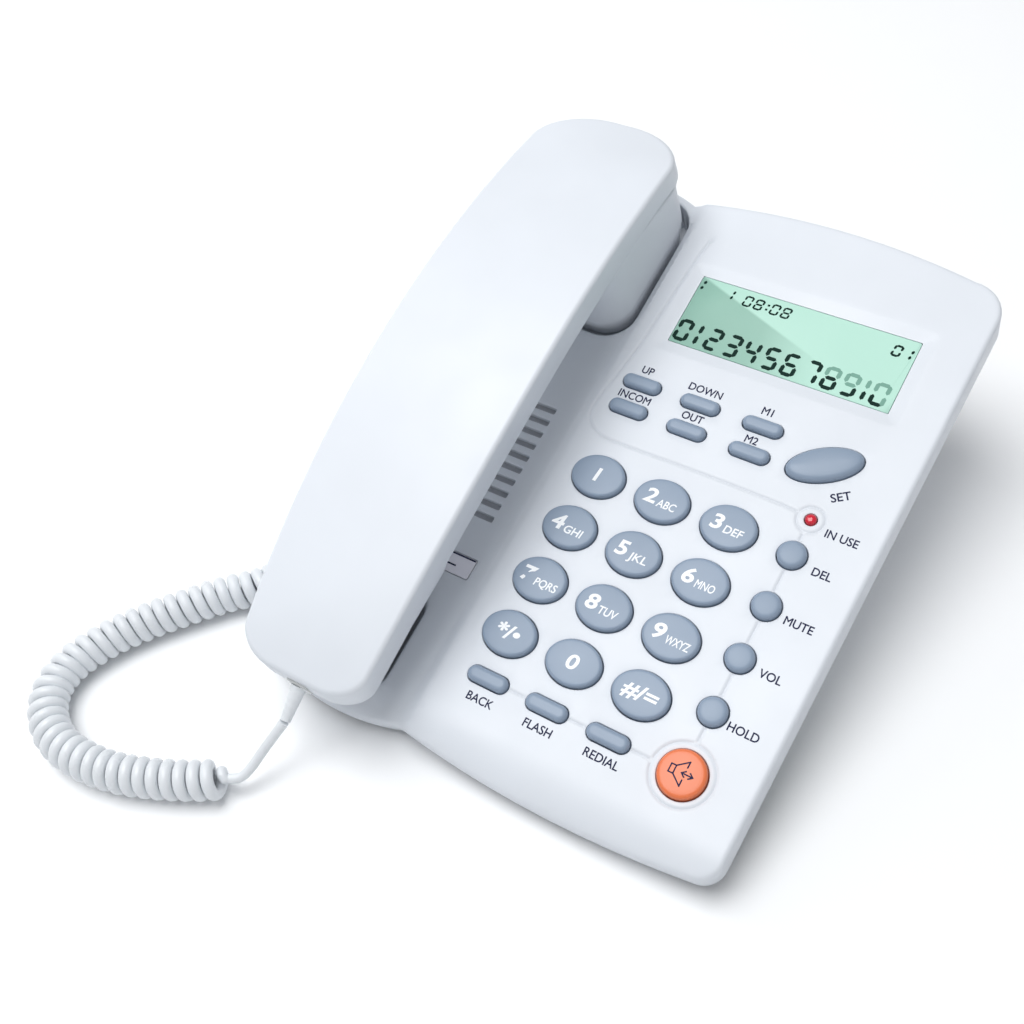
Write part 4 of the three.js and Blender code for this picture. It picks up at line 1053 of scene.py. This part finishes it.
def drum(x, y, radius, low, high, sides=24):
    rings = [lifted(arc(x, y, radius, 0, 360 - 360 / sides, sides - 1), z) for z in (low, high)]
    return stitched(rings)


LINE_JACK_X, LINE_JACK_Z = -40.0, 14.0
SCREWS = {"base_screw_front": (-15.5, -82), "base_screw_rear_left": (-10.5, 83.5), "base_screw_rear_right": (54, 83.5)}
cutters = [block((-95, BASE_JACK_Y - 4.1, BASE_JACK_Z - 3.6), (-64, BASE_JACK_Y + 4.1, BASE_JACK_Z + 3.6), 0.7, 0),
           block((LINE_JACK_X - 4.9, 84, LINE_JACK_Z - 3.5), (LINE_JACK_X + 4.9, 110, LINE_JACK_Z + 3.5), 0.7, 1)]
cutters += [drum(x, y, 3.6, 0, 4.6) for x, y in SCREWS.values()]
cut(bottom, [(plain(v), f) for v, f in cutters])
bottom.data.polygons.foreach_set("use_smooth", [True] * len(bottom.data.polygons))
bottom.data.set_sharp_from_angle(angle=math.radians(35))


def turned(profile, x, y, sides=28):
    """A solid turned about an upright axis, from (radius, height) pairs."""
    return stitched([lifted(arc(x, y, r, 0, 360 - 360 / sides, sides - 1), z) for r, z in profile])


for i, (x, y) in enumerate([(-60, -74), (54, -74), (-60, 76), (54, 76)]):
    profile = [(3.4, 0.25), (3.7, 0.06), (4.2, 0.0), (4.6, 0.06), (4.9, 0.35), (5.0, 0.8), (5.0, 1.5)]
    verts, faces = turned(profile, x, y)
    make(f"rubber_foot_{i + 1}", plain(verts), faces, RUBBER, "base", [f"foot_{i + 1}"], "rubber")


def contacts(name, count, place):
    """A comb of bent gold wires inside a socket."""
    parts = []
    for i in range(count):
        across = (i - (count - 1) / 2) * 1.02
        path = np.array([place(across, d, h) for d, h in ((0.4, 2.6), (1.2, 2.7), (2.4, 2.3), (5.0, 0.6), (7.2, -0.6))])
        dense, _ = spline(path, 0.5)
        parts.append(tube(plain(dense), 0.22 * MM, 8))
    verts, faces = joined(parts)
    make(name, verts, faces, GOLD, "base", slot="metal")


contacts("line_socket_contacts", 4, lambda a, d, h: (LINE_JACK_X + a, 88.2 - d, LINE_JACK_Z + h))

# ---- Display, light and card -------------------------------------------------------------------------------------------
FILM_TOP = -DISPLAY_SUNK
film = [lifted(rounded_rectangle(DISPLAY_U - 35 + e, DISPLAY_U + 35 - e, DISPLAY_V - 12.5 + e, DISPLAY_V + 12.5 - e,
                                 0.5, 4, counts=(24, 9)), n) for e, n in ((0, -2.0), (0, FILM_TOP - 0.12), (0.12, FILM_TOP))]
verts, faces = stitched(film)
make("display_film", on_panel(verts), faces, LCD, "base", ["display_window"], "window")
dome = [(1.6, -5.2), (1.6, -0.05), (1.5, 0.25), (1.25, 0.5), (0.8, 0.68), (0.3, 0.75)]
verts, faces = turned(dome, LED_U, LED_V)
make("light_lens", on_panel(verts), faces, RED, "base", ["in_use_light"], "red_lens", 60)
card_rings = [lifted(card_outline(0.0), n) for n in (-2.5, -2.02)]
verts, faces = stitched(card_rings)
make("label_card", on_panel(verts), faces, PAPER, "base", ["index_card"], "paper")


def slab(outline, low, high):
    return stitched([lifted(np.asarray(outline, float), low), lifted(np.asarray(outline, float), high)])


card_marks = [slab([(-64.6, 15.8), (-21.9, 15.8), (-21.9, 16.3), (-64.6, 16.3)], -2.03, -1.98),
              slab([(-34.5, 12.3), (-27.0, 12.3), (-27.0, 12.8), (-34.5, 12.8)], -2.03, -1.98)]
verts, faces = joined(card_marks)
make("card_lines", on_panel(verts), faces, NAVY, "base", slot="dark_plastic")
cloth_low = -CRADLE_DROP - GRILLE_THICK - 0.5
cloth = [lifted(rounded_rectangle(-60.0, -22.2, SLOT_V - 3, SLOT_V + SLOT_PITCH * (SLOTS - 1) + 3, 1.5), n)
         for n in (cloth_low, cloth_low + 0.45)]
verts, faces = stitched(cloth)
make("speaker_cloth", on_panel(verts), faces, CLOTH, "base", slot="dark_plastic")

SEGMENTS = {"0": "abcdef", "1": "bc", "2": "abged", "3": "abgcd", "4": "fgbc", "5": "afgcd", "6": "afgedc",
            "7": "abc", "8": "abcdefg", "9": "abcdfg"}


def segment_bars(u, v, wide, high, thick, slant):
    """The seven bars of one digit, by letter, centred on u, v."""
    gap, h, half = thick * 0.05, high, thick / 2

    def bar_across(y):
        a, b = half + gap, wide - half - gap
        return [(a, y), (a + half, y - half), (b - half, y - half), (b, y), (b - half, y + half), (a + half, y + half)]

    def bar_up(x, low, top):
        a, b = low + half * 0.6 + gap, top - half * 0.6 - gap
        return [(x, a), (x + half, a + half), (x + half, b - half), (x, b), (x - half, b - half), (x - half, a + half)]
    bars = {"a": bar_across(h - half), "g": bar_across(h / 2), "d": bar_across(half),
            "f": bar_up(half, h / 2, h), "b": bar_up(wide - half, h / 2, h),
            "e": bar_up(half, 0, h / 2), "c": bar_up(wide - half, 0, h / 2)}
    return {k: [(u + x - wide / 2 + slant * (y - h / 2), v + y - h / 2) for x, y in bar] for k, bar in bars.items()}


def digit_bars(char, u, v, wide, high, thick, slant=0.04, pale=""):
    """Dark and faint bars of one digit; the letters in pale are the faint ones."""
    if char == ":":
        side = thick * 0.55
        dots = [(u + slant * high * s, v + high * s) for s in (-0.2, 0.2)]
        return [[(x - side, y - side), (x + side, y - side), (x + side, y + side), (x - side, y + side)]
                for x, y in dots], []
    bars = segment_bars(u - (wide / 2 - thick / 2 if char == "1" else 0), v, wide, high, thick, slant)
    dark = [bars[k] for k in SEGMENTS[char] if k not in pale]
    return dark, [bars[k] for k in SEGMENTS[char] if k in pale]


BIG = [("0", -0.15, ""), ("1", 4.9, ""), ("2", 10.0, ""), ("3", 16.3, ""), ("4", 22.4, ""), ("5", 28.9, ""),
       ("6", 35.0, ""), ("7", 41.6, ""), ("8", 47.6, "abf"), ("9", 53.6, "abfg"), ("1", 58.3, "b"),
       ("0", 62.6, "abcf")]
SMALL = [("1", -1.7, 126.7, 2.5, 4.2, 0.95), ("1", 8.5, 126.3, 2.3, 3.8, 0.7), ("0", 13.8, 125.8, 2.8, 4.0, 0.62),
         ("8", 17.4, 125.8, 2.8, 4.0, 0.62), (":", 20.2, 125.8, 2.8, 4.0, 0.62), ("0", 22.7, 125.8, 2.8, 4.0, 0.62),
         ("8", 26.3, 125.8, 2.8, 4.0, 0.62), ("0", 61.4, 124.9, 2.8, 4.1, 0.72), ("1", 65.6, 124.9, 2.6, 3.9, 0.8)]
found = [digit_bars(char, u, 109.6, 4.8, 8.0, 1.25, 0.04, pale) for char, u, pale in BIG]
found += [digit_bars(*row, 0.12) for row in SMALL]
for name, which, look in (("display_digits", 0, LCD_INK), ("display_faint_digits", 1, LCD_FAINT)):
    verts, faces = joined([slab(bar, FILM_TOP - 0.01, FILM_TOP + 0.03) for pair in found for bar in pair[which]])
    make(name, on_panel(verts), faces, look, "base", slot="dark_plastic")


# ---- Lettering: digits, letters and function words --------------------------------------------------------------------
CAP_UNIT = 0.682


def outline_loops(text):
    """The outline loops of flat lettering at a size of one, each with its inside on the left."""
    curve = bpy.data.curves.new("text", "FONT")
    curve.body = text
    curve.resolution_u = 4
    obj = bpy.data.objects.new("text", curve)
    bpy.context.scene.collection.objects.link(obj)
    bpy.context.view_layer.update()
    mesh = bpy.data.meshes.new_from_object(obj.evaluated_get(bpy.context.evaluated_depsgraph_get()))
    co = np.array([v.co[:2] for v in mesh.vertices])
    sides = {(a, b) for p in mesh.polygons for a, b in zip(p.vertices, list(p.vertices[1:]) + [p.vertices[0]])}
    bpy.data.objects.remove(obj)
    after = {a: b for a, b in sides if (b, a) not in sides}
    loops = []
    while after:
        loop = [next(iter(after))]
        while loop[-1] in after:
            loop.append(after.pop(loop[-1]))
        loops.append(co[loop[:-1]])
    return loops


def thickened(loop, amount):
    """A loop moved outwards, after dropping points too close together to move apart."""
    kept = [loop[0]]
    for p in loop[1:]:
        if np.linalg.norm(p - kept[-1]) > 0.012:
            kept.append(p)
    if np.linalg.norm(kept[0] - kept[-1]) < 0.012:
        kept.pop()
    kept = np.array(kept)
    into = kept - np.roll(kept, 1, 0)
    into /= np.linalg.norm(into, axis=1)[:, None]
    away = np.roll(into, -1, 0)
    normal_in, normal_out = np.stack([into[:, 1], -into[:, 0]], -1), np.stack([away[:, 1], -away[:, 0]], -1)
    spread = 1 + (normal_in * normal_out).sum(1)
    return kept + amount * (normal_in + normal_out) / np.maximum(spread, 0.55)[:, None]


def text_mesh(text, cap, bold=0.0, stretch=1.0, slant=0.0):
    """Flat closed lettering in millimetres, centred on zero, with the stated capital height."""
    points, edges = [], []
    loops = [thickened(loop, bold) for loop in outline_loops(text)]
    for loop in loops:
        start = len(points)
        points += [Vector(p) for p in loop]
        edges += [(start + i, start + (i + 1) % len(loop)) for i in range(len(loop))]
    found, _, triangles, _, _, _ = delaunay_2d_cdt(points, edges, [], 0, 1e-6, True)
    plan = np.array([tuple(p) for p in found])
    middle = plan[np.array(triangles)].mean(1)
    filled = np.logical_xor.reduce([inside(middle, loop) for loop in loops])
    triangles = [t for t, keep in zip(triangles, filled) if keep]
    scale = cap / CAP_UNIT
    x, y = plan[:, 0] * scale * stretch, plan[:, 1] * scale - cap / 2
    x = x + slant * y
    x = x - (x.min() + x.max()) / 2
    count = len(plan)
    upper = [tuple(t) if np.cross(plan[t[1]] - plan[t[0]], plan[t[2]] - plan[t[0]]) > 0 else tuple(t[::-1])
             for t in triangles]
    sides = {(a, b) for t in upper for a, b in zip(t, t[1:] + t[:1])}
    faces = [tuple(count + i for i in t) for t in upper] + [t[::-1] for t in upper]
    faces += [(a, b, count + b, count + a) for a, b in sorted(sides) if (b, a) not in sides]
    return np.column_stack([np.tile(x, 2), np.tile(y, 2), np.repeat([-1.0, 1.0], count)]), faces


def place_text(flat, u, v, turn=0.0, height=lambda p: np.zeros(len(p)), thick=0.05):
    """Lettering laid on a surface whose height over the panel is given."""
    verts, faces = flat
    c, s = math.cos(math.radians(turn)), math.sin(math.radians(turn))
    plan = verts[:, :2] @ np.array([[c, s], [-s, c]]) + (u, v)
    return np.column_stack([plan, height(plan) + np.where(verts[:, 2] > 0, thick, -0.03)]), faces


WORDS = [("UP", -3.3, 92.2), ("DOWN", 16.0, 92.2), ("M1", 35.9, 92.4), ("INCOM", -3.0, 82.5), ("OUT", 16.4, 82.6),
         ("M2", 35.5, 82.2), ("IN USE", 71.2, 63.5), ("DEL", 70.6, 51.7), ("MUTE", 71.1, 35.8), ("VOL", 70.4, 19.6),
         ("HOLD", 70.5, 3.0), ("REDIAL", 40.0, -19.7), ("FLASH", 20.2, -19.9), ("BACK", 1.5, -20.1)]
parts = [place_text(text_mesh(word, 2.4, 0.014, 0.93), u, v) for word, u, v in WORDS]
parts.append(place_text(text_mesh("SET", 2.5, 0.014, 1.0), 65.8, 75.1, 33.0))
verts, faces = joined(parts)
make("panel_legends", on_panel(verts), faces, NAVY, "base", slot="dark_plastic")

KEY_WORDS = {"key_1": ("1", ""), "key_2": ("2", "ABC"), "key_3": ("3", "DEF"), "key_4": ("4", "GHI"),
             "key_5": ("5", "JKL"), "key_6": ("6", "MNO"), "key_7": ("7", "PQRS"), "key_8": ("8", "TUV"),
             "key_9": ("9", "WXYZ"), "key_0": ("0", ""), "key_star": ("*/•", ""), "key_hash": ("#/=", "")}


def on_key(key):
    def height(plan):
        u, v = plan[:, 0] - key["u"], plan[:, 1] - key["v"]
        share = np.sqrt((u / (key["wide"] / 2)) ** 2 + (v / (key["high"] / 2)) ** 2)
        return key_height(key, (1 - share) * key["high"] / 2)
    return height


for key in KEYS:
    if key["node"] not in KEY_WORDS:
        continue
    digit, letters = KEY_WORDS[key["node"]]
    surface = on_key(key)
    if letters:
        parts = [place_text(text_mesh(digit, 4.3, 0.030, 1.22, 0.12), key["u"] - 3.4, key["v"] + 0.2, 0, surface)]
        width = 5.9 if len(letters) == 3 else 7.2
        flat = text_mesh(letters, 2.35, 0.018, 1.0, 0.12)
        flat[0][:, 0] *= width / (flat[0][:, 0].max() - flat[0][:, 0].min())
        parts.append(place_text(flat, key["u"] - 0.8 + width / 2, key["v"] - 1.2, 0, surface))
    else:
        parts = [place_text(text_mesh(digit, 4.1, 0.026, 1.2, 0.10), key["u"], key["v"], 0, surface)]
    verts, faces = joined(parts)
    make(key["node"] + "_legend", on_panel(verts), faces, WHITE, key["node"] + "_cap", slot="paper")


def stroke(points, wide):
    """A line of even width as closed quads."""
    out = []
    for a, b in zip(points[:-1], points[1:]):
        a, b = np.array(a, float), np.array(b, float)
        way = (b - a) / np.linalg.norm(b - a)
        side = np.array([-way[1], way[0]]) * wide / 2
        a, b = a - way * wide * 0.4, b + way * wide * 0.4
        out.append([a - side, b - side, b + side, a + side])
    return out


speaker = next(k for k in KEYS if k["node"] == "key_speaker")
lines = stroke([(-3.4, -1.0), (-2.0, -1.0), (-2.0, 1.3), (-3.4, 1.3), (-3.4, -1.0)], 0.38)
lines += stroke([(-2.0, 1.3), (0.9, 3.6), (0.9, 1.9)], 0.38) + stroke([(-2.0, -1.0), (0.9, -3.3), (0.9, -1.6)], 0.38)
lines += stroke([(0.0, 0.1), (3.2, 0.1)], 0.38)
lines += stroke([(1.0, 0.9), (0.0, 0.1), (1.0, -0.7)], 0.38) + stroke([(2.2, 0.9), (3.2, 0.1), (2.2, -0.7)], 0.38)
parts = []
for quad in lines:
    verts, faces = slab(quad, -1, 1)
    parts.append(place_text((verts, faces), SPEAKER_U, SPEAKER_V, 0, on_key(speaker)))
verts, faces = joined(parts)
make("key_speaker_symbol", on_panel(verts), faces, NAVY, "key_speaker_cap", slot="dark_plastic")

# ---- Floor and light ------------------------------------------------------------------------------------
floor_mesh = bpy.data.meshes.new("floor")
REACH = 3.0
floor_mesh.from_pydata([(-REACH, -REACH, 0), (REACH, -REACH, 0), (REACH, REACH, 0), (-REACH, REACH, 0)],
                       [], [(0, 1, 2, 3)])
floor = bpy.data.objects.new("floor", floor_mesh)
bpy.context.scene.collection.objects.link(floor)
floor_mesh.materials.append(moulded("floor_paint", (0.93, 0.94, 0.95), 0.7, wear=0.0, mottled=0.0))
world = bpy.data.worlds.new("studio")
bpy.context.scene.world = world
world.use_nodes = True
world.node_tree.nodes["Background"].inputs["Color"].default_value = (0.95, 0.97, 1.0, 1)
world.node_tree.nodes["Background"].inputs["Strength"].default_value = 0.40


def softbox(name, place, target, size, power, color=(1, 1, 1)):
    data = bpy.data.lights.new(name, "AREA")
    data.shape = "RECTANGLE"
    data.size, data.size_y = size
    data.energy = power
    data.color = color
    light = bpy.data.objects.new(name, data)
    bpy.context.scene.collection.objects.link(light)
    light.location = place
    light.rotation_mode = "QUATERNION"
    light.rotation_quaternion = (Vector(target) - Vector(place)).to_track_quat("-Z", "Y")


softbox("key_light", (-0.32, -0.12, 1.35), (0, 0, 0.03), (1.0, 1.0), 15.5)
softbox("side_light", (-1.1, 0.1, 0.7), (0, 0, 0.03), (0.8, 0.8), 2.5)
softbox("fill_light", (0.9, -0.7, 0.6), (0, 0, 0.03), (0.9, 0.9), 0.8)
bpy.context.scene.view_settings.view_transform = "Standard"
